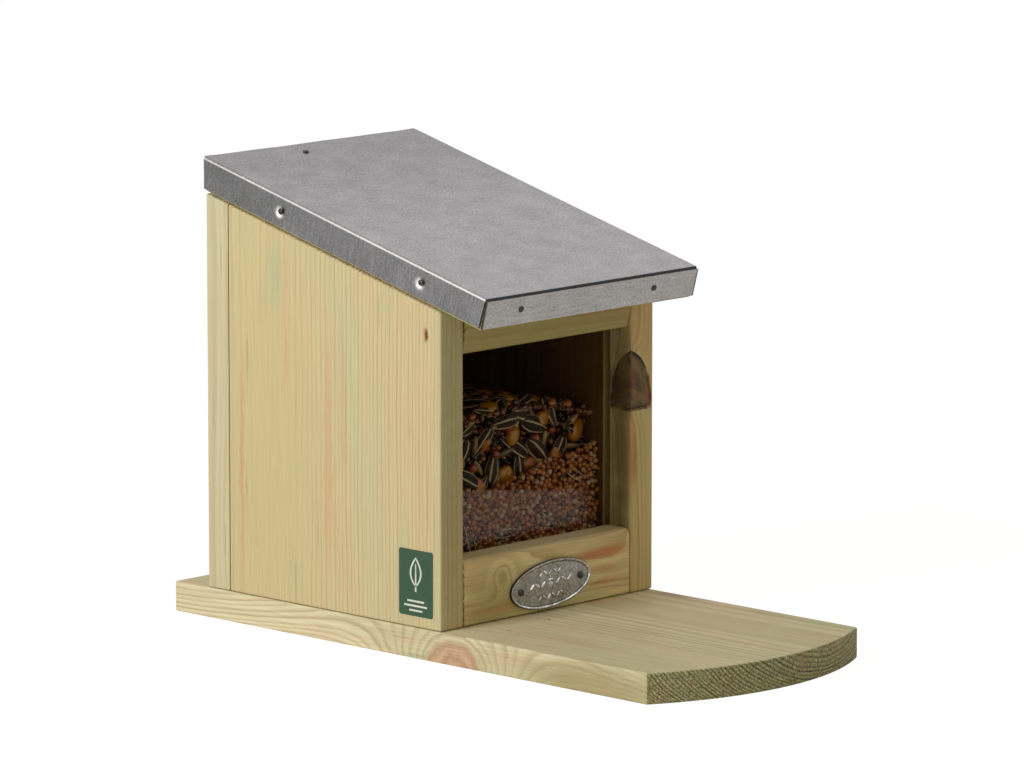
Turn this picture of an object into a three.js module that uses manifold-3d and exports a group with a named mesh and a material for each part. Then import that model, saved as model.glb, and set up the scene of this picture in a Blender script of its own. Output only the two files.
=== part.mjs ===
// Squirrel feeder box: a planed softwood box on a long curved landing board, with a clear pane,
// a sill with an oval plate, and a sheet-metal covered lid on two hinges at the back.
// Millimetres. X is the width, -Y the front, +Z up, and the origin lies under the middle of the base.
import * as THREE from "three";
import { mergeVertices } from "three/addons/utils/BufferGeometryUtils.js";
import Module from "manifold-3d";

const wasm = await Module();
wasm.setup();

// Box and base.
const boxWidth = 118;
const boxDepth = 127; // rear face of the back panel to the front edges of the side panels
const frontHeight = 122.5; // side panels above the base, at their front edges
const baseThickness = 12;
const baseSideLength = 252; // straight side of the base
const baseArcRise = 16; // how far the curved front stands ahead of the straight sides
const baseRearOverhang = 19; // base behind the back panel, the room that the open lid needs
const sideThickness = 12.5;
const backThickness = 12;
const sillHeight = 25.8;
const sillEaseRadius = 2.5;
const paneThickness = 3;
const paneSetback = 12; // front edges of the side panels to the pane
const grooveDepth = 4;

// Lid.
const roofSlopeDegrees = 14.55;
const lidBoardThickness = 12;
const coverSideInset = 0.4; // box's sides stand this far outside the cover's skirts
const sheetThickness = 0.6;
const skirtHeight = 12.05; // measured square to the slope, from the top of the sheet
const lidFrontOverhang = 21.6; // along the slope, ahead of the side panels
const lidRearOverhang = 2.1; // behind the back panel
const cornerSlitWidth = 0.6;
const rearTabWidth = 12;
const railHeight = 17.4;
const railThickness = 10;
const railForward = 3; // rail's front face ahead of the side panels, under the lid

// Clearances.
const jointGap = 0.2; // between boards that are screwed together
const fitGap = 0.3; // between pieces that slide, turn or lie on a slope
const snugGap = 0.1; // around nails and screws, and under their heads
const cutOverrun = 1; // how far a cutter runs past the surface that it cuts

// Hinges.
const hingeWidth = 25;
const hingeSideInset = 27; // hinge's middle from the box's side
const leafThickness = 1.2;
const boxLeafHeight = 17;
const lidLeafHeight = 10.5;
const knuckleRadius = 1.9;
const pinRadius = 1;
const pinBoreGap = 0.2;
const knuckleGap = 0.4; // between neighbouring knuckles, along the pin
const leafJoggleHeight = 1.6;
const hingeScrewSpacing = 16;

// Screws and nails.
const boardScrew = {
  headRadius: 3.4,
  headHeight: 2.6,
  shankRadius: 1.6,
  length: 34,
  driveWidth: 0.9,
  driveDepth: 1.4,
};
const hingeScrew = {
  headRadius: 2.1,
  headHeight: 1,
  shankRadius: 1,
  length: 9.5,
  driveWidth: 0.5,
  driveDepth: 0.6,
};
const railScrew = {
  headRadius: 3,
  headHeight: 2.2,
  shankRadius: 1.4,
  length: 24,
  driveWidth: 0.8,
  driveDepth: 1.2,
};
const coverNail = { headRadius: 1.6, headHeight: 0.6, shankRadius: 0.7, length: 12 };
const plateNail = { headRadius: 1.5, headHeight: 0.9, shankRadius: 0.6, length: 9 };
const screwTipHeight = 3.5;
const nailTipHeight = 1.5;
const screwSink = 0.4; // heads below the wood's face
const sideScrewFrontInset = 32; // base screws behind the side panels' front edges
const sideScrewRearInset = 30; // and ahead of the back panel's rear face
const sillScrewSideInset = 25; // from the box's side
const backFootScrewSideInset = 29;
const backScrewLowHeight = 45; // above the base
const backScrewHighDrop = 28; // below the back panel's top
const railScrewSideInset = 27;
const skirtNailDrop = 6.1; // below the top of the sheet
const sideNailFrontInset = 34.6; // along the slope from the cover's front edge
const sideNailRearInset = 46; // and from its rear edge
const frontNailLeftInset = 20.1; // from the cover's left side
const frontNailRightInset = 23.7;
const topNailOffset = 10.3; // left of the middle
const topNailRearInset = 8.2;

// Oval plate and label.
const plateWidth = 44.3;
const plateHeight = 18.5;
const plateThickness = 0.8;
const plateRimWidth = 1.3;
const plateRimHeight = 0.5;
const plateCentreX = 0.5;
const plateCentreHeight = 10.6; // above the base
const plateTiltDegrees = 4;
const plateNailSpacing = 33.2;
const labelWidth = 17.8;
const labelHeight = 25.5;
const labelThickness = 0.3;
const labelCornerRadius = 0.8;
const labelFrontInset = 4;
const labelBottomHeight = 4.6; // above the base

// Feed.
const grainHeightLeft = 43; // small grain above the base, at the pane's left end
const grainHeightRight = 48;
const heapHeight = 84; // seeds above the base, at the middle of the heap
const heapDrop = 7; // how much lower the heap lies at the walls
const feedClearance = 0.5;
const feedGridColumns = 8;
const feedGridRows = 8;

const roundSides = 12;
const smallSides = 10;
const ellipseSides = 20;
const arcSides = 14;
const easeSides = 4;
const driveArmShare = 0.62; // reach of a screw's cross recess in its head
const nailDomeShare = 0.6;

// Places that follow from the sizes above.
const slope = THREE.MathUtils.degToRad(roofSlopeDegrees);
const halfWidth = boxWidth / 2;
const baseLength = baseSideLength + baseArcRise;
const baseRearY = baseLength / 2;
const arcStartY = baseRearY - baseSideLength;
const backRearY = baseRearY - baseRearOverhang;
const backFrontY = backRearY - backThickness;
const frontY = backRearY - boxDepth;
const paneFrontY = frontY + paneSetback;
const paneRearY = paneFrontY + paneThickness;
const boardFootZ = baseThickness + jointGap;
const roofFrontZ = baseThickness + frontHeight;
const innerX = halfWidth - sideThickness;
const sideMiddleX = halfWidth - sideThickness / 2;
const sillTopZ = boardFootZ + sillHeight;
const roofZ = (y) => roofFrontZ + (y - frontY) * Math.tan(slope);

// Heights square to the slope, from the top of the side panels, and the cover's ends.
const boardLow = fitGap;
const boardHigh = boardLow + lidBoardThickness;
const sheetLow = boardHigh + fitGap;
const sheetHigh = sheetLow + sheetThickness;
const coverHalf = halfWidth - coverSideInset;
const coverRearY = backRearY + lidRearOverhang;
const boardRearY = coverRearY - sheetThickness - fitGap;
const hingeLeafY = boardRearY + fitGap;
const hingeAxisY = hingeLeafY + knuckleRadius;
const hingeAxisZ = roofZ(backRearY);

const materials = {
  wood: new THREE.MeshStandardMaterial({ color: 0xcdbb86, roughness: 0.75, metalness: 0 }),
  zinc: new THREE.MeshStandardMaterial({ color: 0x9a9b9f, roughness: 0.42, metalness: 0.9 }),
  steel: new THREE.MeshStandardMaterial({ color: 0xb4b5b8, roughness: 0.35, metalness: 1 }),
  plate: new THREE.MeshStandardMaterial({ color: 0xa9a7a2, roughness: 0.3, metalness: 1 }),
  pane: new THREE.MeshStandardMaterial({
    color: 0xf2f4f2,
    roughness: 0.05,
    metalness: 0,
    transparent: true,
    opacity: 0.25,
  }),
  label: new THREE.MeshStandardMaterial({ color: 0x1f5a3c, roughness: 0.5, metalness: 0 }),
  grain: new THREE.MeshStandardMaterial({ color: 0xa8602f, roughness: 0.8, metalness: 0 }),
  seeds: new THREE.MeshStandardMaterial({ color: 0x4a4038, roughness: 0.7, metalness: 0 }),
};

const part = new THREE.Group();

// The lid's own frame: Y runs up the slope from the side panels' front edges, Z stands square to it.
const lid = new THREE.Group();
lid.position.set(0, frontY, roofFrontZ);
lid.rotation.x = slope;
part.add(lid);
lid.updateMatrixWorld(true);

// A closed geometry as a solid for joining and cutting, and back.
function toSolid(geometry) {
  const bare = geometry.index ? geometry.toNonIndexed() : geometry.clone();
  bare.deleteAttribute("normal");
  bare.deleteAttribute("uv");
  const merged = mergeVertices(bare);
  return new wasm.Manifold(
    new wasm.Mesh({
      numProp: 3,
      vertProperties: merged.attributes.position.array,
      triVerts: new Uint32Array(merged.index.array),
    }),
  );
}

function toGeometry(solid) {
  const { vertProperties, triVerts } = solid.getMesh();
  const geometry = new THREE.BufferGeometry();
  geometry.setAttribute("position", new THREE.BufferAttribute(vertProperties, 3));
  geometry.setIndex(new THREE.BufferAttribute(triVerts, 1));
  geometry.computeVertexNormals();
  return geometry;
}

function cut(solid, cutters) {
  return cutters.reduce((left, cutter) => left.subtract(cutter), solid);
}

function addMesh(name, shape, material, group = part) {
  const geometry = shape.isBufferGeometry ? shape : toGeometry(shape);
  const mesh = new THREE.Mesh(geometry, material);
  mesh.name = name;
  group.add(mesh);
  return mesh;
}

function block([x0, x1], [y0, y1], [z0, z1]) {
  const geometry = new THREE.BoxGeometry(x1 - x0, y1 - y0, z1 - z0);
  return geometry.translate((x0 + x1) / 2, (y0 + y1) / 2, (z0 + z1) / 2);
}

// An outline drawn in Y and Z, extruded along X.
function alongX(shape, [x0, x1]) {
  const options = { depth: x1 - x0, bevelEnabled: false, curveSegments: easeSides };
  const geometry = new THREE.ExtrudeGeometry(shape, options);
  const toYZ = new THREE.Matrix4().makeBasis(
    new THREE.Vector3(0, 1, 0),
    new THREE.Vector3(0, 0, 1),
    new THREE.Vector3(1, 0, 0),
  );
  return geometry.applyMatrix4(toYZ).translate(x0, 0, 0);
}

function polygon(points) {
  return new THREE.Shape(points.map(([u, v]) => new THREE.Vector2(u, v)));
}

// A profile of radius and height, turned about Z.
function turned(points, sides) {
  const profile = points.map(([radius, height]) => new THREE.Vector2(radius, height));
  return new THREE.LatheGeometry(profile, sides).rotateX(Math.PI / 2);
}

// Screws and nails point down -Z, with the head's rim at zero. A place turns and moves them.
function screwGeometry(spec) {
  const profile = [
    [0, -spec.length],
    [spec.shankRadius, screwTipHeight - spec.length],
    [spec.shankRadius, -spec.headHeight],
    [spec.headRadius, 0],
    [0, 0],
  ];
  const body = toSolid(turned(profile, roundSides));
  const arm = spec.headRadius * driveArmShare;
  const half = spec.driveWidth / 2;
  const drive = [block([-arm, arm], [-half, half], [-spec.driveDepth, cutOverrun])];
  drive.push(block([-half, half], [-arm, arm], [-spec.driveDepth, cutOverrun]));
  return cut(body, drive.map(toSolid));
}

function screwBore(spec, place) {
  const profile = [
    [0, -spec.length - snugGap],
    [spec.shankRadius + snugGap, screwTipHeight - spec.length],
    [spec.shankRadius + snugGap, -spec.headHeight - snugGap],
    [spec.headRadius + snugGap, -snugGap],
    [spec.headRadius + snugGap, cutOverrun],
    [0, cutOverrun],
  ];
  return toSolid(turned(profile, roundSides).applyMatrix4(place));
}

function nailGeometry(spec) {
  const profile = [
    [0, -spec.length],
    [spec.shankRadius, nailTipHeight - spec.length],
    [spec.shankRadius, 0],
    [spec.headRadius, 0],
    [spec.headRadius, spec.headHeight / 2],
    [spec.headRadius * nailDomeShare, spec.headHeight],
    [0, spec.headHeight],
  ];
  return turned(profile, smallSides);
}

function nailBore(spec, place) {
  const profile = [
    [0, -spec.length - snugGap],
    [spec.shankRadius + snugGap, nailTipHeight - spec.length],
    [spec.shankRadius + snugGap, cutOverrun],
    [0, cutOverrun],
  ];
  return toSolid(turned(profile, smallSides).applyMatrix4(place));
}

// A place whose -Z runs along the given direction, the way a screw or nail is driven.
function driven(x, y, z, direction) {
  const turn = new THREE.Quaternion().setFromUnitVectors(new THREE.Vector3(0, 0, -1), direction);
  return new THREE.Matrix4().compose(new THREE.Vector3(x, y, z), turn, new THREE.Vector3(1, 1, 1));
}

function addFastener(name, geometry, place, material, group = part) {
  const mesh = addMesh(name, geometry, material, group);
  mesh.applyMatrix4(place);
}

const up = new THREE.Vector3(0, 0, 1);
const down = new THREE.Vector3(0, 0, -1);
const forward = new THREE.Vector3(0, -1, 0);
const backward = new THREE.Vector3(0, 1, 0);
const toRight = new THREE.Vector3(1, 0, 0);
const toLeft = new THREE.Vector3(-1, 0, 0);
const sides = [
  { side: "left", sign: -1, inward: toRight },
  { side: "right", sign: 1, inward: toLeft },
];

// Screw places in the box. Those from below are driven up, those in the back are driven forward.
const fromBelow = [];
const fromBehind = [];
for (const { side, sign } of sides) {
  const x = sign * sideMiddleX;
  const rows = [
    { row: "front", y: frontY + sideScrewFrontInset },
    { row: "rear", y: backRearY - sideScrewRearInset },
  ];
  for (const { row, y } of rows)
    fromBelow.push({ name: `base_screw_${side}_${row}`, into: side, place: driven(x, y, screwSink, up) });
  fromBelow.push({
    name: `sill_screw_${side}`,
    into: "sill",
    place: driven(sign * (halfWidth - sillScrewSideInset), (frontY + paneFrontY) / 2, screwSink, up),
  });
  fromBelow.push({
    name: `back_foot_screw_${side}`,
    into: "back",
    place: driven(sign * (halfWidth - backFootScrewSideInset), (backFrontY + backRearY) / 2, screwSink, up),
  });
  const heights = [
    { row: "low", z: baseThickness + backScrewLowHeight },
    { row: "high", z: roofZ(backRearY) - backScrewHighDrop },
  ];
  for (const { row, z } of heights) {
    const place = driven(x, backRearY - screwSink, z, forward);
    fromBehind.push({ name: `back_screw_${side}_${row}`, into: side, place });
  }
}
const boardBores = (rows) => rows.map(({ place }) => screwBore(boardScrew, place));
const into = (piece) => boardBores([...fromBelow, ...fromBehind].filter((row) => row.into === piece));

// Base board with a curved front.
function baseBoard() {
  const radius = (halfWidth ** 2 + baseArcRise ** 2) / (2 * baseArcRise);
  const centreY = radius - baseLength / 2;
  const startAngle = Math.atan2(arcStartY - centreY, -halfWidth);
  const endAngle = Math.atan2(arcStartY - centreY, halfWidth);
  const outline = new THREE.Shape();
  outline.moveTo(halfWidth, baseRearY);
  outline.lineTo(-halfWidth, baseRearY);
  outline.lineTo(-halfWidth, arcStartY);
  outline.absarc(0, centreY, radius, startAngle, endAngle, false);
  outline.lineTo(halfWidth, baseRearY);
  const options = { depth: baseThickness, bevelEnabled: false, curveSegments: arcSides };
  return cut(toSolid(new THREE.ExtrudeGeometry(outline, options)), boardBores(fromBelow));
}
addMesh("base_board", baseBoard(), materials.wood);

// Side panels, each with a groove that the pane slides down into.
function sidePanel(side, sign) {
  const rearY = backFrontY - jointGap;
  const outline = polygon([
    [frontY, boardFootZ],
    [rearY, boardFootZ],
    [rearY, roofZ(rearY)],
    [frontY, roofFrontZ],
  ]);
  const [near, far] = [sign * innerX, sign * halfWidth].sort((a, b) => a - b);
  const board = toSolid(alongX(outline, [near, far]));
  const grooveX = [sign * (innerX - cutOverrun), sign * (innerX + grooveDepth)].sort((a, b) => a - b);
  const grooveY = [paneFrontY - fitGap, paneRearY + fitGap];
  const grooveZ = [baseThickness - cutOverrun, roofZ(paneRearY) + cutOverrun];
  const groove = toSolid(block(grooveX, grooveY, grooveZ));
  return cut(board, [groove, ...into(side)]);
}
for (const { side, sign } of sides) addMesh(`${side}_side_panel`, sidePanel(side, sign), materials.wood);

// Back panel, screwed over the rear ends of the side panels, with its top cut to the slope.
function hingeParts(sign) {
  const middle = sign * (halfWidth - hingeSideInset);
  const edges = [middle - hingeWidth / 2, middle + hingeWidth / 2];
  const third = hingeWidth / 3;
  return { middle, edges, inner: [edges[0] + third, edges[1] - third] };
}
const boxLeafTopZ = hingeAxisZ - knuckleRadius - fitGap;
const boxLeafLowZ = hingeAxisZ - boxLeafHeight;
const lidLeafLowZ = hingeAxisZ + knuckleRadius + fitGap;
const lidLeafTopZ = hingeAxisZ + lidLeafHeight;
const boxLeafY = [backRearY + snugGap, backRearY + snugGap + leafThickness];
const lidLeafY = [hingeLeafY, hingeLeafY + leafThickness];
const hingeScrews = [];
for (const { side, sign } of sides) {
  const { middle } = hingeParts(sign);
  [-1, 1].forEach((step, index) => {
    const x = middle + (step * hingeScrewSpacing) / 2;
    const boxZ = (boxLeafLowZ + boxLeafTopZ - leafJoggleHeight) / 2;
    const lidZ = (lidLeafLowZ + lidLeafTopZ) / 2;
    const number = index + 1;
    const boxPlace = driven(x, boxLeafY[1], boxZ, forward);
    const lidPlace = driven(x, lidLeafY[1], lidZ, forward);
    hingeScrews.push({ name: `${side}_hinge_box_screw_${number}`, side, leaf: "box", place: boxPlace });
    hingeScrews.push({ name: `${side}_hinge_lid_screw_${number}`, side, leaf: "lid", place: lidPlace });
  });
}
const hingeBores = (leaf, frame = new THREE.Matrix4()) =>
  hingeScrews
    .filter((screw) => screw.leaf === leaf)
    .map(({ place }) => screwBore(hingeScrew, frame.clone().multiply(place)));

function backPanel() {
  const outline = polygon([
    [backFrontY, boardFootZ],
    [backRearY, boardFootZ],
    [backRearY, roofZ(backRearY)],
    [backFrontY, roofZ(backFrontY)],
  ]);
  const board = toSolid(alongX(outline, [-halfWidth, halfWidth]));
  return cut(board, [...boardBores(fromBehind), ...into("back"), ...hingeBores("box")]);
}
addMesh("back_panel", backPanel(), materials.wood);

// Sill between the side panels, with its upper front edge eased.
const plateNailPlaces = sides.map(({ side, sign }) => {
  const reach = (sign * plateNailSpacing) / 2;
  const tilt = THREE.MathUtils.degToRad(plateTiltDegrees);
  const x = plateCentreX + reach * Math.cos(tilt);
  const z = baseThickness + plateCentreHeight + reach * Math.sin(tilt);
  const y = frontY - snugGap - plateThickness - snugGap;
  return { side, place: driven(x, y, z, backward) };
});

function frontSill() {
  const rearY = paneFrontY - fitGap;
  const outline = new THREE.Shape();
  outline.moveTo(frontY, boardFootZ);
  outline.lineTo(rearY, boardFootZ);
  outline.lineTo(rearY, sillTopZ);
  const [easeY, easeZ] = [frontY + sillEaseRadius, sillTopZ - sillEaseRadius];
  outline.lineTo(easeY, sillTopZ);
  outline.absarc(easeY, easeZ, sillEaseRadius, Math.PI / 2, Math.PI, false);
  const reach = innerX - jointGap;
  const board = toSolid(alongX(outline, [-reach, reach]));
  return cut(board, [...into("sill"), ...plateNailPlaces.map(({ place }) => nailBore(plateNail, place))]);
}
addMesh("front_sill", frontSill(), materials.wood);

// Clear pane, standing on the base in the two grooves.
const paneTopZ = roofZ(paneFrontY) - fitGap;
const paneReach = innerX + grooveDepth - fitGap;
addMesh(
  "window_pane",
  block([-paneReach, paneReach], [paneFrontY, paneRearY], [boardFootZ, paneTopZ]),
  materials.pane,
);

// Screws of the box.
for (const { name, place } of [...fromBelow, ...fromBehind])
  addFastener(name, screwGeometry(boardScrew), place, materials.steel);

// Oval plate with a raised rim, nailed to the sill.
function ovalPlate() {
  const ellipse = (inset, depth) => {
    const shape = new THREE.Shape();
    shape.absellipse(0, 0, plateWidth / 2 - inset, plateHeight / 2 - inset, 0, Math.PI * 2);
    return new THREE.ExtrudeGeometry(shape, { depth, bevelEnabled: false, curveSegments: ellipseSides });
  };
  const full = toSolid(ellipse(0, plateThickness + plateRimHeight));
  const dish = toSolid(ellipse(plateRimWidth, plateRimHeight + cutOverrun).translate(0, 0, plateThickness));
  const tilt = THREE.MathUtils.degToRad(plateTiltDegrees);
  const place = new THREE.Matrix4()
    .makeTranslation(plateCentreX, frontY - snugGap, baseThickness + plateCentreHeight)
    .multiply(new THREE.Matrix4().makeRotationX(Math.PI / 2))
    .multiply(new THREE.Matrix4().makeRotationZ(tilt));
  const plate = toSolid(toGeometry(cut(full, [dish])).applyMatrix4(place));
  return cut(plate, plateNailPlaces.map((nail) => nailBore(plateNail, nail.place)));
}
addMesh("nameplate", ovalPlate(), materials.plate);
for (const { side, place } of plateNailPlaces)
  addFastener(`nameplate_nail_${side}`, nailGeometry(plateNail), place, materials.steel);

// Label low on the left side.
function sideLabel() {
  const y0 = frontY + labelFrontInset;
  const z0 = baseThickness + labelBottomHeight;
  const [y1, z1, r] = [y0 + labelWidth, z0 + labelHeight, labelCornerRadius];
  const outline = new THREE.Shape();
  outline.moveTo(y0 + r, z0);
  outline.absarc(y1 - r, z0 + r, r, -Math.PI / 2, 0, false);
  outline.absarc(y1 - r, z1 - r, r, 0, Math.PI / 2, false);
  outline.absarc(y0 + r, z1 - r, r, Math.PI / 2, Math.PI, false);
  outline.absarc(y0 + r, z0 + r, r, Math.PI, Math.PI * 1.5, false);
  return alongX(outline, [-halfWidth - labelThickness, -halfWidth]);
}
addMesh("side_label", sideLabel(), materials.label);

// Feed behind the pane: small grain below, with a heap of larger seeds on it.
function feedSolid(lowZ, highZ) {
  const reach = innerX - feedClearance;
  const y0 = paneRearY + feedClearance;
  const y1 = backFrontY - feedClearance;
  const at = (column, row, height) => {
    const u = column / feedGridColumns;
    const v = row / feedGridRows;
    return [-reach + 2 * reach * u, y0 + (y1 - y0) * v, height(u, v)];
  };
  const triangles = [];
  const quad = (a, b, c, d) => triangles.push(...a, ...b, ...c, ...a, ...c, ...d);
  for (let i = 0; i < feedGridColumns; i++)
    for (let j = 0; j < feedGridRows; j++) {
      quad(at(i, j, highZ), at(i + 1, j, highZ), at(i + 1, j + 1, highZ), at(i, j + 1, highZ));
      quad(at(i, j, lowZ), at(i, j + 1, lowZ), at(i + 1, j + 1, lowZ), at(i + 1, j, lowZ));
    }
  for (let i = 0; i < feedGridColumns; i++) {
    const last = feedGridRows;
    quad(at(i, 0, lowZ), at(i + 1, 0, lowZ), at(i + 1, 0, highZ), at(i, 0, highZ));
    quad(at(i + 1, last, lowZ), at(i, last, lowZ), at(i, last, highZ), at(i + 1, last, highZ));
  }
  for (let j = 0; j < feedGridRows; j++) {
    const last = feedGridColumns;
    quad(at(0, j + 1, lowZ), at(0, j, lowZ), at(0, j, highZ), at(0, j + 1, highZ));
    quad(at(last, j, lowZ), at(last, j + 1, lowZ), at(last, j + 1, highZ), at(last, j, highZ));
  }
  const geometry = new THREE.BufferGeometry();
  return geometry.setAttribute("position", new THREE.Float32BufferAttribute(triangles, 3));
}
const grainTop = (u) => baseThickness + grainHeightLeft + (grainHeightRight - grainHeightLeft) * u;
const heapTop = (u, v) => {
  const crown = Math.sin(Math.PI * u) * Math.sin((Math.PI * (1 + v)) / 2);
  return baseThickness + heapHeight - heapDrop * (1 - crown);
};
addMesh("feed_small_grain", feedSolid(() => boardFootZ, grainTop), materials.grain);
addMesh("feed_seed_heap", feedSolid((u) => grainTop(u) + fitGap, heapTop), materials.seeds);

// Hinges. The box leaf is joggled out to the knuckles, which stand clear of the back panel.
function hingeLeaf(leaf, sign) {
  const { edges, inner } = hingeParts(sign);
  const onBox = leaf === "box";
  const knuckles = onBox
    ? [[edges[0], inner[0] - knuckleGap / 2], [inner[1] + knuckleGap / 2, edges[1]]]
    : [[inner[0] + knuckleGap / 2, inner[1] - knuckleGap / 2]];
  const plate = onBox
    ? toSolid(block(edges, boxLeafY, [boxLeafLowZ, boxLeafTopZ - leafJoggleHeight]))
    : toSolid(block(edges, lidLeafY, [lidLeafLowZ, lidLeafTopZ]));
  const web = onBox
    ? polygon([
        [boxLeafY[0], boxLeafTopZ - leafJoggleHeight - leafThickness],
        [boxLeafY[1], boxLeafTopZ - leafJoggleHeight - leafThickness],
        [boxLeafY[1], boxLeafTopZ - leafJoggleHeight],
        [lidLeafY[1], boxLeafTopZ],
        [lidLeafY[1], hingeAxisZ],
        [lidLeafY[0], hingeAxisZ],
        [lidLeafY[0], boxLeafTopZ],
        [boxLeafY[0], boxLeafTopZ - leafJoggleHeight],
      ])
    : polygon([
        [lidLeafY[0], hingeAxisZ],
        [lidLeafY[1], hingeAxisZ],
        [lidLeafY[1], lidLeafLowZ + leafThickness],
        [lidLeafY[0], lidLeafLowZ + leafThickness],
      ]);
  const rod = (radius, [x0, x1], overrun) => {
    const long = x1 - x0 + 2 * overrun;
    const cylinder = new THREE.CylinderGeometry(radius, radius, long, roundSides);
    return toSolid(cylinder.rotateZ(Math.PI / 2).translate((x0 + x1) / 2, hingeAxisY, hingeAxisZ));
  };
  const joined = knuckles.reduce(
    (solid, span) => solid.add(toSolid(alongX(web, span))).add(rod(knuckleRadius, span, 0)),
    plate,
  );
  return cut(joined, [rod(pinRadius + pinBoreGap, edges, cutOverrun), ...hingeBores(leaf)]);
}
for (const { side, sign } of sides) {
  addMesh(`${side}_hinge_box_leaf`, hingeLeaf("box", sign), materials.steel);
  addMesh(`${side}_hinge_lid_leaf`, hingeLeaf("lid", sign), materials.steel);
  const { middle } = hingeParts(sign);
  const pin = new THREE.CylinderGeometry(pinRadius, pinRadius, hingeWidth, roundSides);
  const mesh = addMesh(`${side}_hinge_pin`, pin, materials.steel);
  mesh.rotation.z = Math.PI / 2;
  mesh.position.set(middle, hingeAxisY, hingeAxisZ);
}
for (const { name, place } of hingeScrews)
  addFastener(name, screwGeometry(hingeScrew), place, materials.steel);

// Lid board, cover and rail, in the lid's frame. Their rear ends are cut plumb.
const plumbAt = (worldY, height) => (worldY - frontY + height * Math.sin(slope)) / Math.cos(slope);
const coverRearTop = plumbAt(coverRearY, sheetHigh);
const nailHeight = sheetHigh - skirtNailDrop;
const coverNails = [];
for (const { side, sign, inward } of sides) {
  const x = sign * (coverHalf + snugGap);
  const rows = [
    { row: "front", y: sideNailFrontInset - lidFrontOverhang },
    { row: "rear", y: coverRearTop - sideNailRearInset },
  ];
  for (const { row, y } of rows)
    coverNails.push({ name: `cover_nail_${side}_${row}`, place: driven(x, y, nailHeight, inward) });
}
const frontNailX = { left: frontNailLeftInset - coverHalf, right: coverHalf - frontNailRightInset };
for (const [side, x] of Object.entries(frontNailX))
  coverNails.push({
    name: `cover_nail_front_${side}`,
    place: driven(x, -lidFrontOverhang - snugGap, nailHeight, backward),
  });
coverNails.push({
  name: "cover_nail_top",
  place: driven(-topNailOffset, coverRearTop - topNailRearInset, sheetHigh + snugGap, down),
});
const coverNailBores = () => coverNails.map(({ place }) => nailBore(coverNail, place));
const railScrewX = halfWidth - railScrewSideInset;
const railScrews = sides.map(({ side, sign }) => ({
  name: `rail_screw_${side}`,
  place: driven(sign * railScrewX, railThickness / 2 - railForward, boardHigh - screwSink, down),
}));
const railBores = () => railScrews.map(({ place }) => screwBore(railScrew, place));

function slopedBlock(frontEdge, rearWorldY, low, high) {
  return polygon([
    [frontEdge, low],
    [plumbAt(rearWorldY, low), low],
    [plumbAt(rearWorldY, high), high],
    [frontEdge, high],
  ]);
}

const coverInset = sheetThickness + fitGap;
function lidBoard() {
  const reach = coverHalf - coverInset;
  const outline = slopedBlock(coverInset - lidFrontOverhang, boardRearY, boardLow, boardHigh);
  const fromWorld = lid.matrixWorld.clone().invert();
  const bores = [...coverNailBores(), ...railBores(), ...hingeBores("lid", fromWorld)];
  return cut(toSolid(alongX(outline, [-reach, reach])), bores);
}
addMesh("lid_board", lidBoard(), materials.wood, lid);

// Cover folded from sheet: top, two side skirts and a front skirt with an open slit at each front
// corner, and tabs folded round the rear corners.
function lidCover() {
  const skirtLow = sheetHigh - skirtHeight;
  const inside = coverHalf - sheetThickness;
  const frontEdge = -lidFrontOverhang;
  const shell = toSolid(
    alongX(slopedBlock(frontEdge, coverRearY, skirtLow, sheetHigh), [-coverHalf, coverHalf]),
  );
  const cutter = (rearY) => slopedBlock(frontEdge + sheetThickness, rearY, skirtLow - cutOverrun, sheetLow);
  const hollow = cutter(coverRearY - sheetThickness);
  const behind = cutter(coverRearY + cutOverrun);
  const betweenTabs = coverHalf - rearTabWidth;
  const cutters = [
    toSolid(alongX(hollow, [-inside, inside])),
    toSolid(alongX(behind, [-betweenTabs, betweenTabs])),
  ];
  const slitY = [frontEdge + sheetThickness - fitGap / 2, frontEdge + sheetThickness + cornerSlitWidth];
  for (const { sign } of sides) {
    const slitX = [sign * inside, sign * (coverHalf + cutOverrun)].sort((a, b) => a - b);
    cutters.push(toSolid(block(slitX, slitY, [skirtLow - cutOverrun, sheetLow])));
  }
  return cut(shell, [...cutters, ...coverNailBores()]);
}
addMesh("lid_cover_sheet", lidCover(), materials.zinc, lid);

function lidRail() {
  const reach = innerX - feedClearance;
  const rail = block([-reach, reach], [-railForward, railThickness - railForward], [-railHeight, 0]);
  return cut(toSolid(rail), railBores());
}
addMesh("lid_rail", lidRail(), materials.wood, lid);

for (const { name, place } of coverNails)
  addFastener(name, nailGeometry(coverNail), place, materials.steel, lid);
for (const { name, place } of railScrews)
  addFastener(name, screwGeometry(railScrew), place, materials.steel, lid);

export default part;
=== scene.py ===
import math
from functools import partial

import bmesh
import bpy
from mathutils import Matrix, Vector, noise


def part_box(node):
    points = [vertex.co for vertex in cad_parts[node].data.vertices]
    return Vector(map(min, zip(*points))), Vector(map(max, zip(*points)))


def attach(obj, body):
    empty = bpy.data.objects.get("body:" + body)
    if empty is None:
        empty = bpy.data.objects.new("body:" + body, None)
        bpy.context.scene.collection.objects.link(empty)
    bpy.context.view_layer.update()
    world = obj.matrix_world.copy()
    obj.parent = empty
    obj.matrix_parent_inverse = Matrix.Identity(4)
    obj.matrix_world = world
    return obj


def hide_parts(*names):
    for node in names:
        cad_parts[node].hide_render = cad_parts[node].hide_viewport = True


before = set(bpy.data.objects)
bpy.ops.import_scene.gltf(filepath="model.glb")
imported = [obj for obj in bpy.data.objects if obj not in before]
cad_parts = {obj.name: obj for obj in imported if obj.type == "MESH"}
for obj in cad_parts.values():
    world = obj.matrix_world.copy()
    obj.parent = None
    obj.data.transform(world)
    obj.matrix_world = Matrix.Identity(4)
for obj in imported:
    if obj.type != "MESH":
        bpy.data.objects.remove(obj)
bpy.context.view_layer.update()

scene = bpy.context.scene
mm = 0.001
sizes = {name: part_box(name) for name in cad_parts}


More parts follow.
